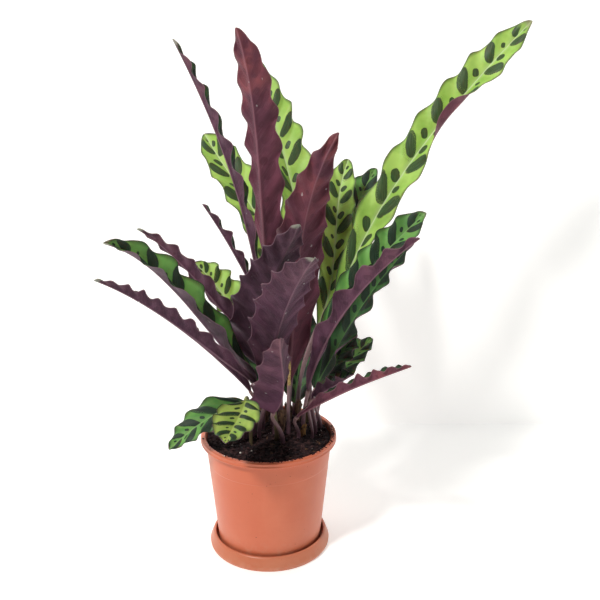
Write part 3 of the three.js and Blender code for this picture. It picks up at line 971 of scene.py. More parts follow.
class LeafMarks(Group):
    """The marks that both sides of a blade share: ovals, veins, margin, rib, dry tip and a band of
    painted shade across each wave.
    """

    INPUTS = ("Large", "Small", "Long", "Edge", "Rib")
    OUTPUTS = ("Oval", "Core", "Streak", "Vein", "Margin", "Rib", "Band", "Dry", "Mottle",
               "PleatShade", "Share", "Speck")
    LARGE = OvalRow(start=0.5, half_long=0.2, half_wide=0.32, centre=0.5, spread=0.2, key=0.0)
    SMALL = OvalRow(start=0.0, half_long=0.125, half_wide=0.11, centre=0.27, spread=0.7, key=40.0)
    NOTCH_LEFT = 0.76
    NOTCH_STEP = -0.25
    OVAL_END = 0.9
    OVAL_BLUNT = 2.1
    OVAL_SQUARE = 3.0
    UNEVEN = 0.05
    SPECK_SCALE = 240.0
    VEINS_PER_WAVE = 26.0

    def __init__(self) -> None:
        """Builds the group."""
        super().__init__("leaf_marks", self.INPUTS, self.OUTPUTS)
        g = self.graph
        self.across, wave, self.share = g.attribute("blade")
        self.from_rib, self.from_edge, self.shear = g.attribute("span")
        self.seed, dry, slant = g.attribute("trait")
        self.out = g.math("ABSOLUTE", self.across)
        self.lean = g.minus(wave, g.times(slant, self.out))
        self.wobble = g.noise(g.here(), 150.0, 2.0)
        vein = g.step(self._vein_line(), 0.5, 0.0)
        # painted shade: a soft band across each wave, which the finishes darken towards their shade
        # colour
        pleat_shade = g.math("SINE", g.times(self.lean, 2 * math.pi))
        tip = g.line(self.wobble, self.UNEVEN, self.share)
        strands = g.join(g.times(self.lean, 34.0), g.times(self.out, 2.5), self.seed)
        g.feed(self.result, {
            **self._ovals(slant),
            "Streak": g.noise(strands, 1.0),
            "Vein": vein,
            "Margin": self._margin(vein),
            "Rib": self._rib(),
            "Band": g.step(self.from_rib, 4.5, 0.6),
            "Dry": g.times(g.step(tip, 0.988, 1.012), dry),
            "Mottle": g.noise(g.here(), 38.0, 4.0),
            "PleatShade": g.line(pleat_shade, 0.5, 0.5),
            "Share": self.share,
            "Speck": g.step(g.noise(g.here(), self.SPECK_SCALE, 0.0), 0.835, 0.86),
        })

    def _vein_line(self) -> Socket:
        """Gives 0 on each fine side vein and 1 half-way between two."""
        g = self.graph
        return g.math("ABSOLUTE", g.math("SINE", g.times(self.lean, math.pi * self.VEINS_PER_WAVE)))

    def _margin(self, vein: Socket) -> Socket:
        """Marks the blade's margin, which reaches inwards along the veins.

        Args:
            vein: The mask of the fine veins.

        Returns:
            The margin's mask.
        """
        g = self.graph
        comb = g.over(g.line(vein, -0.9, self.from_edge), self.given["Edge"])
        return g.math("MAXIMUM", g.step(comb, 0.7, 0.25), g.times(g.step(comb, 2.8, 0.1), 0.7))

    def _rib(self) -> Socket:
        """Marks the rib, which gets slimmer towards the tip.

        Returns:
            The rib's mask.
        """
        g = self.graph
        width = g.times(g.line(self.share, -0.5, 1.0), self.given["Rib"])
        return g.step(g.over(self.from_rib, width), 1.2, 0.5)

    def _ovals(self, slant: Socket) -> dict[str, Socket]:
        """Marks the large and the small ovals between the side veins.

        Args:
            slant: How many waves a vein runs along the blade.

        Returns:
            The masks of the ovals and of their cores.
        """
        g = self.graph
        right = g.math("GREATER_THAN", self.across, 0.0)
        notch = g.line(right, self.NOTCH_STEP, self.NOTCH_LEFT)
        cell = g.minus(g.line(slant, self.OVAL_END, self.lean), notch)
        key = g.line(right, 0.5, self.seed)
        nearest = g.math("MINIMUM", self._oval(cell, key, self.LARGE, self.given["Large"]),
                         self._oval(cell, key, self.SMALL, self.given["Small"]))
        inside = g.times(g.step(self.share, 0.03, 0.09), g.step(self.share, 0.985, 0.95))
        return {"Oval": g.times(g.step(nearest, 1.15, 0.85), inside),
                "Core": g.step(nearest, 0.85, 0.25)}

    def _oval(self, cell: Socket, key: Socket, row: OvalRow, scale: Socket) -> Socket:
        """Measures one blunt oval in each cell along a half blade.

        Args:
            cell: The count of cells along the veins.
            key: The random numbers' seed.
            row: The ovals' sizes and places.
            scale: How large the ovals are.

        Returns:
            The distance from the oval's middle: 1 on its outline.
        """
        g = self.graph
        shifted = g.plus(cell, row.start)
        number = g.math("FLOOR", shifted)
        first, second, third = g.random(number, g.plus(key, row.key), row.start)
        uneven = g.around(0.0, self.UNEVEN, self.wobble)
        along = g.plus(g.plus(g.minus(shifted, number), g.around(-0.5, 0.12, third)), uneven)
        size = g.times(g.around(1.0, row.spread, first), scale)
        size_wide = g.times(g.times(size, g.line(second, 0.16, 0.9)),
                            g.times(self.given["Long"], row.half_wide))
        aside = g.plus(g.minus(self.out, g.around(row.centre, 0.08, second)), uneven)
        parts = [
            g.math("POWER", g.over(g.math("ABSOLUTE", offset), limit), blunt)
            for offset, limit, blunt in (
                (along, g.times(size, row.half_long), self.OVAL_BLUNT),
                (g.line(along, self.shear, aside), size_wide, self.OVAL_SQUARE))
        ]
        return g.plus(*parts)


@functools.cache
def leaf_marks() -> LeafMarks:
    """Gives the one group of leaf marks, which is built when it is first asked for."""
    return LeafMarks()


class Paint(NamedTuple):
    """What differs from place to place over a finish."""

    colour: Socket
    roughness: Socket
    height: Socket


@dataclass(frozen=True)
class Finish:
    """What all finishes share: how a material is put together.

    KIND starts the material's name, RELIEF is the depth in metres and the strength of its
    bumps, and EVEN holds what is the same all over the surface.
    """

    KIND = "plain"
    RELIEF = (0.001, 1.0)
    EVEN = MappingProxyType({})

    name: str

    def paint(self, g: Graph) -> Paint:
        """Makes what differs from place to place, each finish in its own way."""
        raise NotImplementedError

    def build(self) -> bpy.types.Material:
        """Makes the material.

        Returns:
            The material, with one Principled shader.
        """
        made, g, skin = shader(f"{self.KIND}_{self.name}")
        paint = self.paint(g)
        depth, strength = self.RELIEF
        bump = g.node("ShaderNodeBump")
        g.feed(bump, {"Distance": depth, "Strength": strength, "Height": paint.height})
        g.feed(skin, {"Base Color": paint.colour, "Roughness": paint.roughness,
                      "Normal": bump.outputs[0], **self.EVEN})
        return made


def shader(name: str) -> tuple[bpy.types.Material, Graph, bpy.types.Node]:
    """Makes an empty material with its Principled shader.

    Args:
        name: The material's name.

    Returns:
        The material, its graph and the shader node.
    """
    made = bpy.data.materials.new(name)
    made.use_nodes = True
    made.node_tree.nodes.clear()
    graph = Graph(made.node_tree)
    skin = graph.node("ShaderNodeBsdfPrincipled")
    graph.wire(skin.outputs[0], graph.node("ShaderNodeOutputMaterial").inputs["Surface"])
    return made, graph, skin


@dataclass(frozen=True)
class UpperFinish(Finish):
    """The upper side of a blade: green, with dark ovals, a pale rib and a dark margin."""

    KIND = "leaf_upper"
    RELIEF = (0.0004, 0.6)
    EVEN = {"Specular IOR Level": 0.35, "Subsurface Weight": 0.12, "Subsurface Scale": 0.003}
    DRY = linear(170, 164, 140)

    light: Colour
    shade: Colour
    oval: Colour
    margin: Colour
    rib: Colour
    large: float = 1.0
    small: float = 1.0
    long: float = 1.0
    edge: float = 1.0
    roughness: float = 0.44

    def paint(self, g: Graph) -> Paint:
        """Paints the green, the ovals, the veins, the rib and the margin, with painted shade in a band
        across each wave.

        Args:
            g: The material's graph.

        Returns:
            What differs from place to place.
        """
        mark = leaf_marks().place(g, Large=self.large, Small=self.small, Long=self.long,
                                  Edge=self.edge, Rib=1.0)
        green = g.mix(g.step(mark["Mottle"], 0.38, 0.66), self.light, self.shade)
        # the pleat coat is painted shade across each wave
        green = g.coats(green, (mark["PleatShade"], 0.3, self.shade), (mark["Vein"], 0.22, self.shade),
                        (mark["Band"], 0.25, self.rib))
        streaks = g.times(g.step(mark["Streak"], 0.42, 0.66), mark["Core"])
        dark = g.mix(streaks, self.oval, dimmed(self.oval, 1.7))
        colour = g.coats(g.mix(mark["Oval"], green, dark), (mark["Margin"], 1, self.margin),
                         (mark["Rib"], 0.7, self.rib), (mark["Dry"], 1, self.DRY))
        height = g.plus(g.times(mark["Vein"], -0.5), g.times(mark["Streak"], 0.5))
        return Paint(colour, g.around(self.roughness, 0.12, mark["Mottle"]), height)


@dataclass(frozen=True)
class UnderFinish(Finish):
    """The underside of a blade: maroon velvet, with faint ovals and a fine raised rib."""

    KIND = "leaf_under"
    RELIEF = (0.0006, 0.8)
    EVEN = {"Specular IOR Level": 0.2, "Sheen Weight": 0.02, "Sheen Roughness": 0.4,
            "Subsurface Weight": 0.05, "Subsurface Scale": 0.002}
    SPECK = linear(206, 200, 200)
    DRY = linear(182, 186, 168)

    light: Colour
    shade: Colour
    # painted light: the tip colour stands for light shining through the blade towards its tip
    tip: Colour
    rib: Colour
    roughness: float = 0.54

    def paint(self, g: Graph) -> Paint:
        """Paints the maroon, lighter towards the tip as painted light shining through, with painted
        shade across each wave, the faint ovals, the rib, a pale painted highlight along the edge and
        the dust specks.

        Args:
            g: The material's graph.

        Returns:
            What differs from place to place.
        """
        mark = leaf_marks().place(g, Large=1.0, Small=1.0, Long=1.0, Edge=1.0, Rib=0.85)
        # painted light: lighter and redder towards the tip, as where light shines through the blade
        light = g.mix(g.step(mark["Share"], 0.5, 1.0), self.light, self.tip)
        maroon = g.mix(g.step(mark["Mottle"], 0.36, 0.66), light, self.shade)
        deep = dimmed(self.shade, 0.5)
        # the pleat coat is painted shade across each wave
        colour = g.coats(
            maroon, (mark["PleatShade"], 0.5, self.shade), (mark["Oval"], 0.38, deep),
            (mark["Vein"], 0.28, deep), (g.step(mark["Streak"], 0.5, 0.7), 0.2, self.rib),
            # the pale coat on the outermost margin is a painted highlight along the edge
            (mark["Margin"], 0.35, deep), (g.step(mark["Margin"], 0.72, 1.0), 0.55, self.rib),
            (mark["Rib"], 0.5, self.rib), (mark["Speck"], 0.6, self.SPECK),
            (mark["Dry"], 1, self.DRY))
        height = g.plus(g.times(mark["Vein"], 0.5), g.times(mark["Streak"], 0.6))
        return Paint(colour, g.around(self.roughness, 0.14, mark["Mottle"]), height)


@dataclass(frozen=True)
class StemFinish(Finish):
    """A stem's skin: dusky at the sheath, streaked along, paler at the joint."""

    KIND = "stem"
    RELIEF = (0.0002, 0.5)

    low: Colour
    high: Colour
    joint: Colour
    roughness: float = 0.45

    def paint(self, g: Graph) -> Paint:
        """Paints the change of colour upwards and the dark streaks.

        Args:
            g: The material's graph.

        Returns:
            What differs from place to place.
        """
        share, seed, _ = g.attribute("stalk")
        streaks = g.grain(900.0, 60.0, shift=seed)
        blotch = g.noise(g.here(), 55.0)
        rise = g.line(blotch, 0.3, g.minus(share, 0.15))
        colour = g.coats(
            g.mix(g.step(rise, 0.1, 0.75), self.low, self.high),
            (g.step(share, 0.86, 0.97), 1, self.joint),
            (g.step(streaks, 0.5, 0.72), 0.55, dimmed(self.low, 0.45)))
        return Paint(colour, g.around(self.roughness, 0.2, blotch), streaks)


@dataclass(frozen=True)
class HuskFinish(Finish):
    """A dry papery sheath, streaked along and darker in patches."""

    KIND = "dry"
    RELIEF = (0.0005, 0.8)

    brown: Colour
    pale: Colour
    dark: Colour
    roughness: float = 0.75

    def paint(self, g: Graph) -> Paint:
        """Paints the fibres and the dark patches.

        Args:
            g: The material's graph.

        Returns:
            What differs from place to place.
        """
        streaks = g.grain(1500.0, 140.0)
        patch = g.noise(g.here(), 240.0)
        colour = g.coats(g.mix(g.step(streaks, 0.38, 0.66), self.brown, self.pale),
                         (g.step(patch, 0.5, 0.66), 0.8, self.dark))
        return Paint(colour, g.around(self.roughness, 0.2, patch), streaks)


@dataclass(frozen=True)
class MouldedFinish(Finish):
    """Moulded terracotta-coloured plastic, with faint flow marks, dust and soil specks."""

    KIND = "moulded"
    RELIEF = (0.00012, 0.5)
    EVEN = {"Specular IOR Level": 0.42, "Subsurface Weight": 0.08, "Subsurface Scale": 0.002}
    # dark of the inner band: soil stain and painted shade
    STAIN_AND_SHADE = linear(62, 42, 34)
    SPECK = linear(60, 42, 34)

    base: Colour
    pale: Colour
    dusty: Colour
    floor_z: float
    dust_height: float
    # where the band of soil stain and painted shade starts, in metres
    stain_and_shade_radius: float = 0.0
    stain_and_shade_z: float = 0.0
    roughness: float = 0.36

    def _stain_and_shade(self, g: Graph) -> Socket:
        """Marks a patchy dark band on the inner wall below the mouth: partly soil stain, partly
        painted shade where the foliage shades it.

        Args:
            g: The material's graph.

        Returns:
            The mask of the soil stain and painted shade.
        """
        x, y, z = g.split(g.here())
        radius = g.math("SQRT", g.plus(g.times(x, x), g.times(y, y)))
        inside = g.times(g.step(radius, self.stain_and_shade_radius + 0.0002, self.stain_and_shade_radius - 0.0008),
                         g.step(z, self.stain_and_shade_z, self.stain_and_shade_z + 0.0005))
        return g.times(inside, g.step(g.noise(g.here(), 130.0, 4.0), 0.3, 0.5))

    def paint(self, g: Graph) -> Paint:
        """Paints the plastic's clouds and flow marks, the dust, the soil stain and painted shade
        inside the mouth, and the specks.

        Args:
            g: The material's graph.

        Returns:
            What differs from place to place.
        """
        place = g.here()
        _, _, z = g.split(place)
        cloud, fine = g.noise(place, 14.0, 4.0), g.noise(place, 900.0, 2.0)
        flow = g.grain(60.0, 9.0, 4.0)
        low = g.step(z, self.floor_z + self.dust_height, self.floor_z)
        dust = g.times(low, g.step(g.noise(place, 160.0, 5.0), 0.42, 0.75))
        specks = g.step(g.noise(place, 420.0, 1.0), 0.775, 0.8)
        colour = g.coats(
            g.mix(g.step(cloud, 0.35, 0.68), self.base, self.pale),
            (g.step(flow, 0.48, 0.72), 0.25, self.pale),
            (g.step(fine, 0.55, 0.8), 0.12, dimmed(self.base, 0.7)),
            # the inner band darkens the lip with soil stain and painted shade
            (dust, 0.4, self.dusty), (self._stain_and_shade(g), 0.85, self.STAIN_AND_SHADE), (specks, 0.55, self.SPECK))
        rough = g.line(dust, 0.25, g.around(self.roughness, 0.16, cloud))
        return Paint(colour, rough, g.line(fine, 0.35, flow))


@dataclass(frozen=True)
class SoilFinish(Finish):
    """Damp, dark potting soil, uneven in colour and rough."""

    KIND = "soil"
    RELIEF = (0.0006, 0.9)
    EVEN = {"Specular IOR Level": 0.2}

    dark: Colour
    brown: Colour
    pale: Colour
    pale_share: float
    roughness: float = 0.85

    def paint(self, g: Graph) -> Paint:
        """Paints the clumps and the pale flecks.

        Args:
            g: The material's graph.

        Returns:
            What differs from place to place.
        """
        clump, fine = g.noise(g.here(), 190.0, 5.0, 0.65), g.noise(g.here(), 1300.0)
        colour = g.coats(
            g.mix(g.step(clump, 0.4, 0.66), self.dark, self.brown),
            (g.step(fine, 1.0 - self.pale_share, 1.04 - self.pale_share), 1, self.pale))
        return Paint(colour, g.around(self.roughness, 0.2, clump), g.line(fine, 0.5, clump))


def spin_round(bm: Shape, steps: int) -> None:
    """Spins everything in a bmesh a full turn round the upright axis and closes it.

    Args:
        bm: Holds one profile in the plane of x and z.
        steps: How many segments the turn has.
    """
    bmesh.ops.spin(bm, geom=bm.verts[:] + bm.edges[:], axis=(0, 0, 1), cent=(0, 0, 0),
                   angle=2 * math.pi, steps=steps, use_merge=True, use_duplicate=False)
    bmesh.ops.remove_doubles(bm, verts=bm.verts[:], dist=1e-7)
    bmesh.ops.recalc_face_normals(bm, faces=bm.faces[:])


def draw_profile(bm: Shape, points: Iterable[Pair]) -> None:
    """Adds one open line.

    Args:
        bm: The shape that the line is drawn in.
        points: Each point's radius and height, in millimetres.
    """
    verts = [bm.verts.new((radius * MM, 0, height * MM)) for radius, height in points]
    for pair in zip(verts, verts[1:]):
        bm.edges.new(pair)


def soften(bm: Shape, sharp_angle: float = 38.0) -> None:
    """Shades a shape smooth.

    Args:
        bm: The shape.
        sharp_angle: The turn at which an edge stays sharp, in degrees.
    """
    for face in bm.faces:
        face.smooth = True
    limit = math.radians(sharp_angle)
    for edge in bm.edges:
        edge.smooth = len(edge.link_faces) != 2 or edge.calc_face_angle(0.0) < limit


def bevel(bm: Shape, edges: Iterable[bmesh.types.BMEdge], width: float, steps: int) -> None:
    """Rounds some of a shape's edges in steps, by a width in millimetres."""
    bmesh.ops.bevel(bm, geom=list(edges), offset=width * MM, affect="EDGES",
                    segments=steps, profile=0.5, material=-1, clamp_overlap=True)


def between(low: Pair, high: Pair, count: int) -> list[Pair]:
    """Gives points on a straight line, the first included and the last left out."""
    return [(low[0] + (high[0] - low[0]) * step / count,
             low[1] + (high[1] - low[1]) * step / count) for step in range(count)]


def round_axis(radius: float, turn: float) -> Pair:
    """Gives x and y at a radius and a turn round the upright axis, in radians."""
    return radius * math.cos(turn), radius * math.sin(turn)


@dataclass
class Pot:
    """The tapered nursery pot, with its foot ring, mould line and band round the mouth."""

    floor: tuple[Pair, ...] = ((0, 5.9), (20, 5.9), (43, 5.9), (44.6, 4.3), (48.6, 4.3), (49.7, 5.3))
    foot: Pair = (49.6, 4.3)
    neck: Pair = (60.3, 110.4)
    low_z: float = 8.0
    seam_z: float = 90.0
    seam_step: float = 0.42
    over_seam: Pair = (92.0, 109.0)
    band: tuple[Pair, ...] = (
        (64.2, 110.4), (65, 110.9), (65, 111.9), (64.6, 112.5), (64.7, 114.2), (64.9, 115.1),
        (64.1, 116), (62.4, 116), (61.2, 116), (60.2, 115))
    inside: tuple[Pair, Pair] = ((58.6, 109.4), (48.3, 8.1))
    inner_floor: tuple[Pair, ...] = ((48.3, 8.1), (20, 8.1), (0, 8.1))
    steps: int = 192
    corner: float = 0.35
    corner_angle: float = 30.0

    def wall(self, height: float) -> Pair:
        """Gives the outer wall's radius at a height, with the height."""
        (low_r, low_z), (high_r, high_z) = self.foot, self.neck
        return low_r + (high_r - low_r) * (height - low_z) / (high_z - low_z), height

    def _seam(self) -> list[Pair]:
        """Draws the mould line, where the wall steps in."""
        radius, height = self.wall(self.seam_z)
        return [(radius - self.seam_step, height), self.wall(self.seam_z + 0.5)]

    def build(self) -> bpy.types.Object:
        """Makes the pot.

        Returns:
            Its object.
        """
        low, high = self.over_seam
        bm = bmesh.new()
        draw_profile(bm, [
            *self.floor, *between(self.wall(self.low_z), self.wall(self.seam_z - 0.4), 12),
            *self._seam(), *between(self.wall(low), self.wall(high), 4), self.neck, *self.band,
            *between(*self.inside, 6), *self.inner_floor])
        spin_round(bm, self.steps)
        limit = math.radians(self.corner_angle)
        bevel(bm, (edge for edge in bm.edges
                   if len(edge.link_faces) == 2 and edge.calc_face_angle(0.0) > limit),
              self.corner, 3)
        soften(bm)
        return to_object(bm, "pot_fine")


@dataclass
class Saucer:
    """The round saucer, with an inward-leaning wall, a rolled lip and low ribs inside."""

    floor: tuple[Pair, ...] = ((0, 0), (24, 0), (48, 0), (57.4, 0), (58.4, 1.6), (58.7, 4))
    outside: tuple[Pair, Pair] = ((58.5, 4.6), (55.9, 11.4))
    lip: tuple[Pair, ...] = (
        (55.6, 12.2), (55, 13.1), (54.4, 13.4), (53.8, 13.5), (53.2, 13.4), (52.9, 12.8))
    inside: tuple[Pair, Pair] = ((53.4, 11.6), (56.4, 4.6))
    inner_floor: tuple[Pair, ...] = (
        (56.7, 4), (56.5, 2.8), (55.7, 1.8), (48, 1.8), (24, 1.8), (0, 1.8))
    steps: int = 192
    ribs: int = 6
    rib_width: float = 3.0
    rib_span: Pair = (16.0, 50.0)
    rib_rise: Pair = (0.9, 4.0)
    rib_corner: float = 0.6

    def _rib(self, bm: Shape, number: int) -> None:
        """Adds one rib.

        Args:
            bm: The saucer.
            number: Which rib it is.
        """
        (inner, outer), (low, high) = self.rib_span, self.rib_rise
        size = Matrix.Diagonal(((outer - inner) * MM, self.rib_width * MM, (high - low) * MM, 1))
        middle = Matrix.Translation(((inner + outer) / 2 * MM, 0, (low + high) / 2 * MM))
        turn = Matrix.Rotation(2 * math.pi * number / self.ribs, 4, "Z")
        grown = bmesh.ops.create_cube(bm, size=1)["verts"]
        bmesh.ops.transform(bm, matrix=turn @ middle @ size, verts=grown)
        edges = {edge for vert in grown for edge in vert.link_edges}
        bevel(bm, (edge for edge in edges if all(vert.co.z > 1.01 * low * MM for vert in edge.verts)),
              self.rib_corner, 2)

    def build(self) -> bpy.types.Object:
        """Makes the saucer.

        Returns:
            Its object.
        """
        bm = bmesh.new()
        draw_profile(bm, [*self.floor, *between(*self.outside, 6), *self.lip,
                          *between(*self.inside, 5), *self.inner_floor])
        spin_round(bm, self.steps)
        for number in range(self.ribs):
            self._rib(bm, number)
        soften(bm)
        return to_object(bm, "saucer_fine")


@dataclass(frozen=True)
class Grains:
    """One kind of grain on the soil: how many, how large in millimetres, how flat and long."""

    name: str
    count: int
    least: float
    most: float
    flat: float
    long: float


@dataclass
class Soil:
    """The soil in the pot: a rough top with lumps, crumbs, perlite and bits of bark.

    The crumbs on the rim have their radius, turn and size from a start over a reach, in
    millimetres and degrees. Each crumb on the wall has its turn, height and size, and each
    fleck its place and size.
    """

    low_radius: float = 47.9
    edge_radius: float = 58.9
    bottom: float = 8.4
    edge_z: float = 110.9
    top: float = 112.4
    steps: int = 200
    rings: int = 54
    lump_rate: float = 0.05
    lump_height: float = 1.1
    clod_rate: float = 0.19
    clod_height: float = 1.05
    litter: tuple[Grains, ...] = (
        Grains("soil_crumbs", 2600, 0.35, 2.2, 0.75, 1.2),
        Grains("soil_perlite", 60, 0.3, 1.1, 0.8, 1.1),
        Grains("soil_bark", 46, 0.7, 1.6, 0.45, 2.6),
    )
    small_grains: float = 2.2
    unused_draws: int = 3
    batch: int = 40
    seed: int = 7
    rim_crumbs: int = 260
    rim_radius: Pair = (61.2, 2.4)
    rim_turn: Pair = (-170.0, 185.0)
    rim_size: Pair = (0.3, 0.75)
    rim_z: float = 116.0
    wall_gap: float = 0.1
    spilt_flat: float = 0.7
    wall_crumbs: tuple[Point, ...] = ((-69, 98.4, 0.42), (-90, 90.6, 0.34), (-52, 104, 0.25))
    rim_flecks: tuple[tuple[float, float, float, float], ...] = (
        (-38.6, -49.5, 116.2, 0.8), (-40.3, -48.6, 116.1, 0.4),
        (-36.5, -51.6, 116.1, 0.35), (21.0, -58.3, 116.2, 0.3))

    def surface(self, x: float, y: float) -> float:
        """Gives the soil's height at a place.

        Args:
            x: The place's x, in millimetres.
            y: Its y.

        Returns:
            The height, in millimetres.
        """
        lumps = noise.noise(Vector((x * self.lump_rate, y * self.lump_rate, 3.1)))
        clods = noise.fractal(Vector((x * self.clod_rate, y * self.clod_rate, 8.4)), 0.8, 2.1, 4)
        rough = lumps * self.lump_height + clods * self.clod_height
        edge = max(0.0, min(1.0, (self.edge_radius - math.hypot(x, y)) / 3))
        return self.top - 0.4 * (1 - edge) ** 2 + rough * (0.35 + 0.65 * edge)

    def build_body(self) -> bpy.types.Object:
        """Makes the body of the soil.

        Returns:
            Its object.
        """
        edge = (self.edge_radius, self.edge_z)
        bm = bmesh.new()
        draw_profile(bm, [
            (0, self.bottom), (24, self.bottom), (self.low_radius, self.bottom),
            *between((self.low_radius + 1, 18), edge, 8), edge,
            *between((self.edge_radius - 0.2, self.top), (0.4, self.top), self.rings),
            (0, self.top)])
        spin_round(bm, self.steps)
        for vert in bm.verts:
            if vert.co.z > (self.top - 0.1) * MM:
                vert.co.z = self.surface(vert.co.x / MM, vert.co.y / MM) * MM
        bmesh.ops.recalc_face_normals(bm, faces=bm.faces[:])
        soften(bm, 70)
        return to_object(bm, "soil_fine")

    @staticmethod
    def _pour(part: Shape, whole: Shape) -> None:
        """Moves the newest grains to the others, because steps on a small shape are quick.

        Args:
            part: Holds the newest grains, and is empty afterwards.
            whole: Holds the others.
        """
        mesh = bpy.data.meshes.new("batch")
        part.to_mesh(mesh)
        part.clear()
        whole.from_mesh(mesh)
        bpy.data.meshes.remove(mesh)

    def _heap(self, name: str, places: Iterable[Matrix], draw: random.Random) -> bpy.types.Object:
        """Makes one small angular grain at each place.

        Args:
            name: The object's name.
            places: What turns a ball of radius 1 into each grain, in millimetres.
            draw: The random numbers, which the places may draw from as well.

        Returns:
            The object.
        """
        whole, part = bmesh.new(), bmesh.new()
        for number, place in enumerate(places, 1):
            grown = bmesh.ops.create_icosphere(part, subdivisions=1, radius=1)["verts"]
            for vert in grown:
                vert.co *= 0.75 + 0.5 * draw.random()
            bmesh.ops.transform(part, verts=grown, matrix=TO_METRES @ place)
            if number % self.batch == 0:
                self._pour(part, whole)
        self._pour(part, whole)
        part.free()
        bmesh.ops.recalc_face_normals(whole, faces=whole.faces[:])
        return to_object(whole, name)

    def _strewn(self, kind: Grains, draw: random.Random) -> Iterator[Matrix]:
        """Strews grains over the soil.

        Args:
            kind: The kind of grain.
            draw: The random numbers.

        Yields:
            What turns a ball of radius 1 into each grain.
        """
        reach = self.edge_radius - 0.2
        for _ in range(kind.count):
            size = kind.least + (kind.most - kind.least) * draw.random() ** self.small_grains
            radius = (reach - size) * math.sqrt(draw.random())
            turn = draw.random() * 2 * math.pi
            x, y = round_axis(radius, turn)
            for _ in range(self.unused_draws):  # keeps the later draws in their order
                draw.random()
            spin = Matrix.Rotation(draw.random() * 6.283, 4, "Z")
            spin = spin @ Matrix.Rotation((draw.random() - 0.5) * 1.2, 4, "X")
            stretch = Matrix.Diagonal((size * kind.long, size, size * kind.flat, 1))
            yield Matrix.Translation((x, y, self.surface(x, y) + 0.3 * size)) @ spin @ stretch

    def build_litter(self) -> list[bpy.types.Object]:
        """Makes the crumbs, the perlite and the bark, one object each."""
        draw = random.Random(self.seed)
        return [self._heap(kind.name, self._strewn(kind, draw), draw) for kind in self.litter]

    def build_spill(self) -> list[bpy.types.Object]:
        """Makes the crumbs and flecks that lie on the rim and cling to the pot's wall.

        Returns:
            The crumbs' object and the flecks'.
        """
        draw = random.Random(self.seed + 1)
        crumbs = []
        for _ in range(self.rim_crumbs):
            turn = math.radians(self.rim_turn[0] + self.rim_turn[1] * draw.random() ** 0.6)
            radius = self.rim_radius[0] + self.rim_radius[1] * draw.random() ** 2
            size = self.rim_size[0] + self.rim_size[1] * draw.random() ** 3
            crumbs.append((*round_axis(radius, turn), self.rim_z, size))
        for turn, height, size in self.wall_crumbs:
            radius = Pot().wall(height)[0] + self.wall_gap
            crumbs.append((*round_axis(radius, math.radians(turn)), height, size))
        made = []
        for name, grains in (("spilt_crumbs", crumbs), ("spilt_flecks", self.rim_flecks)):
            places = [Matrix.Translation(at) @ Matrix.Diagonal((size, size, self.spilt_flat * size, 1))
                      for *at, size in grains]
            made.append(self._heap(name, places, draw))
        return made


@dataclass
class Husk:
    """One dry sheath that stands open round a stem's foot, in millimetres and degrees."""

    name: str
    at: Pair
    low: float
    height: float
    radius: float
    flare: float
    turn: float
    wrap: float
    seed: float
    lean: Pair = (0.0, 0.0)
    columns: int = 22
    rows: int = 18
    thickness: float = 0.25
    narrowing: float = 0.45
    crease_turn: float = 12.0
    crease_depth: float = 0.9
    raggedness: float = 0.22
    rounding: float = 0.2

    def _rolled(self, side: float, rise: float) -> Vector:
        """Rolls one point of the flat sheet round the stem.

        Args:
            side: From -1 to 1 across the sheet.
            rise: From 0 at its foot to 1 at its top.

        Returns:
            The point's place, in metres.
        """
        crease = noise.noise(Vector((side * 2.1, rise * 1.4, self.seed)))
        ragged = noise.noise(Vector((side * 3.7, 4.2, self.seed)))
        half_wrap = self.wrap / 2 * side * (1 - self.narrowing * rise**2)
        angle = math.radians(self.turn + half_wrap + self.crease_turn * crease)
        radius = self.radius + self.flare * rise**1.6 + self.crease_depth * crease * (0.3 + rise)
        top = 1 + self.raggedness * ragged * rise - self.rounding * side**2
        climb = self.height * rise * top
        x, y = round_axis(radius, angle)
        return Vector((self.at[0] + self.lean[0] * climb + x,
                       self.at[1] + self.lean[1] * climb + y, self.low + climb)) * MM

    def build(self) -> bpy.types.Object:
        """Makes the sheath by rolling a thin ragged sheet round the stem.

        Returns:
            Its object.
        """
        bm = bmesh.new()
        bmesh.ops.create_grid(bm, x_segments=self.columns, y_segments=self.rows, size=1)
        for vert in bm.verts:
            vert.co = self._rolled(vert.co.x, (vert.co.y + 1) / 2)
        bmesh.ops.recalc_face_normals(bm, faces=bm.faces[:])
        bmesh.ops.solidify(bm, geom=bm.faces[:], thickness=self.thickness * MM)
        bmesh.ops.recalc_face_normals(bm, faces=bm.faces[:])
        soften(bm, 60)
        return to_object(bm, self.name)


@dataclass(frozen=True)
class Lamp:
    """One square soft light: its place and size in metres, its power and its colour."""

    name: str
    at: Point
    size: float
    power: float
    colour: Colour


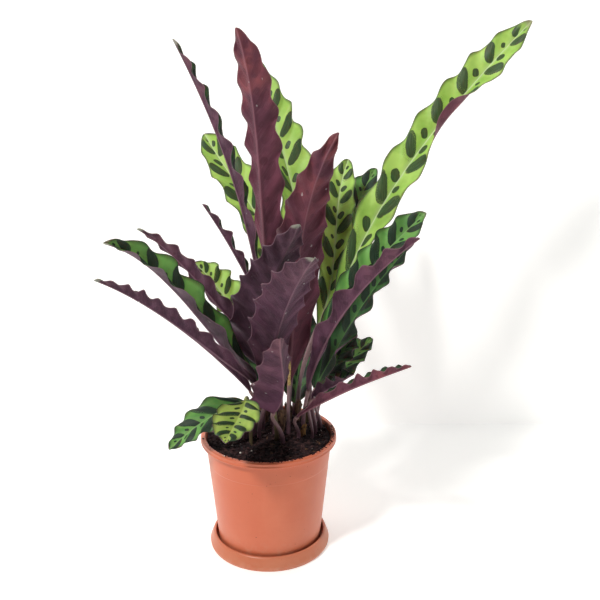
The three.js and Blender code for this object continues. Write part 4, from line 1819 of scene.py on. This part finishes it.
@dataclass
class Studio:
    """The pale floor and wall, the soft lights and the camera."""

    camera_at: Point = (0.0301, -0.7598, 0.4818)
    pitch: float = 72.96
    lens: float = 52.02
    sensor: float = 36.0
    wall_y: float = 0.265
    half_floor: float = 4.0
    wall_height: float = 3.0
    room_light: float = 0.08
    glow: float = 0.42
    glow_colour: Colour = (1.0, 1.0, 0.985)
    aim: Point = (0.03, 0.02, 0.25)
    lamps: tuple[Lamp, ...] = (
        Lamp("key_light", (-0.95, -1.2, 1.95), 0.26, 39, (1.0, 0.985, 0.96)),
        Lamp("side_fill", (1.3, -1.3, 0.8), 1.2, 2.0, (0.97, 0.98, 1.0)),
    )

    def _plain(self) -> bpy.types.Material:
        """Makes the pale finish of floor and wall.

        Returns:
            The material, which is see-through from behind.
        """
        made, g, skin = shader("pale_backdrop")
        cloud = g.noise(g.here(), 3.0, 2.0)
        g.feed(skin, {
            "Base Color": g.mix(cloud, linear(236, 236, 234), linear(232, 232, 230)),
            "Roughness": 0.9, "Specular IOR Level": 0.1,
            "Emission Color": (*self.glow_colour, 1.0), "Emission Strength": self.glow})
        back = g.node("ShaderNodeNewGeometry").outputs["Backfacing"]
        clear = g.node("ShaderNodeBsdfTransparent").outputs[0]
        end = skin.outputs[0].links[0].to_node
        self._choose(g, back, skin.outputs[0], clear, end)
        return made

    @staticmethod
    def _choose(g: Graph, share: Socket, first: Socket, second: Socket,
                end: bpy.types.Node) -> None:
        """Shows the second shader where a share is 1, and the first elsewhere.

        Args:
            g: The graph.
            share: The second shader's share.
            first: The first shader.
            second: The second shader.
            end: The output node.
        """
        choose = g.node("ShaderNodeMixShader")
        for value, socket in zip((share, first, second), choose.inputs):
            g.wire(value, socket)
        g.wire(choose.outputs[0], end.inputs["Surface"])

    def build_backdrop(self) -> None:
        """Makes the floor and the wall, which stage the plant and aren't part of it."""
        pale = self._plain()
        squash = Matrix.Diagonal((1, self.wall_height / (2 * self.half_floor), 1, 1))
        stand = Matrix.Rotation(math.radians(90), 4, "X")
        place = Matrix.Translation((0, self.wall_y, self.wall_height / 2))
        for name, matrix in (("stage_floor", Matrix.Identity(4)),
                             ("stage_wall", place @ stand @ squash)):
            sheet = bmesh.new()
            bmesh.ops.create_grid(sheet, x_segments=1, y_segments=1, size=self.half_floor)
            bmesh.ops.transform(sheet, matrix=matrix, verts=sheet.verts)
            item = to_object(sheet, name)
            item.data.materials.append(pale)

    def build_camera(self) -> None:
        """Makes the camera at the photograph's angle."""
        lens = bpy.data.cameras.new("camera")
        lens.lens, lens.sensor_width, lens.clip_start = self.lens, self.sensor, 0.01
        camera = bpy.data.objects.new("camera", lens)
        camera.location = self.camera_at
        camera.rotation_euler = (math.radians(self.pitch), 0, 0)
        bpy.context.scene.collection.objects.link(camera)
        bpy.context.scene.camera = camera

    def _hang(self, lamp: Lamp) -> None:
        """Hangs one light so that it looks at the plant.

        Args:
            lamp: The light.
        """
        light = bpy.data.lights.new(lamp.name, "AREA")
        light.shape, light.size = "SQUARE", lamp.size
        light.energy, light.color = lamp.power, lamp.colour
        made = bpy.data.objects.new(lamp.name, light)
        made.location = lamp.at
        aim = Vector(self.aim) - Vector(lamp.at)
        made.rotation_euler = aim.to_track_quat("-Z", "Y").to_euler()
        bpy.context.scene.collection.objects.link(made)

    def build_lights(self) -> None:
        """Hangs the key light and the fill, and makes the pale surroundings."""
        for lamp in self.lamps:
            self._hang(lamp)
        world = bpy.data.worlds.new("pale_room")
        world.use_nodes = True
        nodes, g = world.node_tree.nodes, Graph(world.node_tree)
        bright = g.node("ShaderNodeBackground")
        for node, strength in ((nodes["Background"], self.room_light), (bright, 1.0)):
            g.feed(node, {"Color": (1.0, 1.0, 1.0, 1.0), "Strength": strength})
        seen = g.node("ShaderNodeLightPath").outputs["Is Camera Ray"]
        self._choose(g, seen, nodes["Background"].outputs[0], bright.outputs[0],
                     nodes["World Output"])
        bpy.context.scene.world = world
        bpy.context.scene.view_settings.view_transform = "Standard"


UPPER_FINISHES = {
    UpperTone.LIME: UpperFinish(
        "lime", linear(188, 228, 116), linear(156, 202, 88), linear(55, 80, 46),
        linear(58, 86, 50), linear(222, 240, 188), long=1.3),
    UpperTone.YELLOW: UpperFinish(
        "yellow", linear(194, 216, 110), linear(152, 188, 86), linear(34, 58, 34),
        linear(44, 74, 40), linear(188, 210, 110), large=1.2, small=0.6, long=1.4, edge=1.5),
    UpperTone.MID: UpperFinish(
        "mid", linear(122, 184, 90), linear(86, 144, 68), linear(32, 52, 37),
        linear(38, 62, 40), linear(150, 190, 118), large=1.25, small=0.7, long=1.35, edge=1.3),
    # deep: partly the leaf's own dark green, partly painted shade for the shaded inner leaves
    UpperTone.DEEP: UpperFinish(
        "deep", linear(64, 110, 58), linear(42, 80, 44), linear(25, 41, 30),
        linear(30, 50, 34), linear(104, 146, 84), large=1.3, small=0.8, long=1.35, edge=1.4),
}
UNDER_FINISHES = {
    UnderTone.ROSE: UnderFinish(
        "rose", linear(130, 72, 90), linear(100, 55, 71), linear(154, 82, 82), linear(160, 112, 122)),
    UnderTone.MAROON: UnderFinish(
        "maroon", linear(117, 75, 97), linear(83, 50, 70), linear(128, 82, 94), linear(152, 112, 124)),
    UnderTone.PLUM: UnderFinish(
        "plum", linear(108, 68, 90), linear(74, 42, 62), linear(120, 82, 96), linear(152, 116, 130)),
    UnderTone.DUSK: UnderFinish(
        "dusk", linear(120, 83, 106), linear(84, 55, 73), linear(128, 90, 106), linear(156, 122, 136)),
}
DUSKY_STEM = StemFinish("dusky", linear(108, 78, 88), linear(146, 115, 118), linear(156, 122, 120))
GREEN_STEM = StemFinish("green", linear(92, 80, 56), linear(136, 140, 84), linear(164, 170, 108))
POT_FINISH = MouldedFinish(
    "pot", linear(206, 107, 74), linear(214, 120, 87), linear(206, 164, 140),
    # the last two place the inner band of soil stain and painted shade
    floor_z=0.004, dust_height=0.03, stain_and_shade_radius=0.0611, stain_and_shade_z=0.1107)
SAUCER_FINISH = MouldedFinish(
    "saucer", linear(198, 114, 82), linear(206, 126, 94), linear(208, 170, 148),
    floor_z=0.0, dust_height=0.012)
SOIL_FINISH = SoilFinish(
    "ground", linear(28, 18, 22), linear(56, 37, 38), linear(138, 128, 118), pale_share=0.2)
CRUMB_FINISH = SoilFinish(
    "crumbs", linear(28, 19, 22), linear(70, 47, 46), linear(124, 108, 96), pale_share=0.18)
PERLITE_FINISH = SoilFinish(
    "perlite", linear(196, 190, 180), linear(228, 224, 214), linear(240, 238, 232), pale_share=0.3)
BARK_FINISH = SoilFinish(
    "bark", linear(70, 48, 36), linear(112, 82, 58), linear(150, 118, 88), pale_share=0.25)
HUSK_FINISH = HuskFinish("husk", linear(96, 70, 56), linear(142, 112, 86), linear(60, 42, 36))
SHEATH_FINISH = HuskFinish("sheath", linear(126, 88, 56), linear(188, 146, 84), linear(84, 52, 38))
STRAW_FINISH = HuskFinish("straw", linear(176, 142, 88), linear(220, 196, 128), linear(120, 78, 56))


def finish_piece(piece: bpy.types.Object, node: str, slot: str,
                 *materials: bpy.types.Material) -> None:
    """Dresses a piece and ties it to the part.

    Args:
        piece: The fine piece.
        node: The solid that it stands for.
        slot: The record's slot; not used.
        materials: Its materials, in order.
    """
    for material in materials:
        piece.data.materials.append(material)
    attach(piece, "root")
    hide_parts(node)
    LOG.info("%s: %d faces", piece.name, len(piece.data.polygons))


def build_leaves() -> None:
    """Makes every blade and stem."""
    upper = {tone: finish.build() for tone, finish in UPPER_FINISHES.items()}
    under = {tone: finish.build() for tone, finish in UNDER_FINISHES.items()}
    dusky, green = DUSKY_STEM.build(), GREEN_STEM.build()
    for leaf in LEAVES:
        finish_piece(Blade(leaf).build(), f"{leaf.name}_blade", "young_leaf" if leaf.young else "leaf",
                     upper[leaf.upper], under[leaf.under])
        finish_piece(Stem(leaf).build(), f"{leaf.name}_stem", "stem",
                     green if leaf.green_stem else dusky)


def build_base() -> None:
    """Makes the saucer, the pot and the soil."""
    finish_piece(Saucer().build(), "saucer", "saucer", SAUCER_FINISH.build())
    finish_piece(Pot().build(), "pot", "pot", POT_FINISH.build())
    soil = Soil()
    finish_piece(soil.build_body(), "soil", "soil", SOIL_FINISH.build())
    crumb, perlite, bark = CRUMB_FINISH.build(), PERLITE_FINISH.build(), BARK_FINISH.build()
    finishes = (crumb, perlite, bark, crumb, perlite)
    for litter, finish in zip(soil.build_litter() + soil.build_spill(), finishes):
        finish_piece(litter, "soil", "soil", finish)


def build_husks() -> None:
    """Makes the dry sheaths at the feet of some stems."""
    brown, tan, pale = (finish.build() for finish in (HUSK_FINISH, SHEATH_FINISH, STRAW_FINISH))
    for husk, node, finish in (
        (Husk("husk_wide", (12.5, 9.5), 112, 25, 2.9, 2.4, -80, 250, 3.0), "leaf_01_stem", brown),
        (Husk("husk_right", (33, -1), 112, 15, 2.4, 0.7, -60, 230, 5.0), "leaf_10_stem", tan),
        (Husk("husk_front", (20, 3.4), 164, 28, 2.1, 0.4, -95, 85, 17.0, (0.04, -0.3)),
         "leaf_02_stem", pale),
        (Husk("husk_back", (19, 33), 112, 22, 2.8, 1.8, -110, 220, 8.0), "leaf_05_stem", brown),
        (Husk("husk_left", (-4, 31), 112, 18, 2.5, 2.0, -90, 260, 11.0), "leaf_24_stem", brown),
        (Husk("husk_far", (28, 34), 112, 24, 2.6, 1.6, -70, 240, 14.0), "leaf_07_stem", brown),
    ):
        finish_piece(husk.build(), node, "stem", finish)


def main() -> None:
    """Builds the plant, its pot and the scene."""
    logging.basicConfig(level=logging.INFO, format="%(message)s")
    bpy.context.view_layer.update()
    build_base()
    build_leaves()
    build_husks()
    studio = Studio()
    studio.build_backdrop()
    studio.build_camera()
    studio.build_lights()


if __name__ == "__main__":
    main()
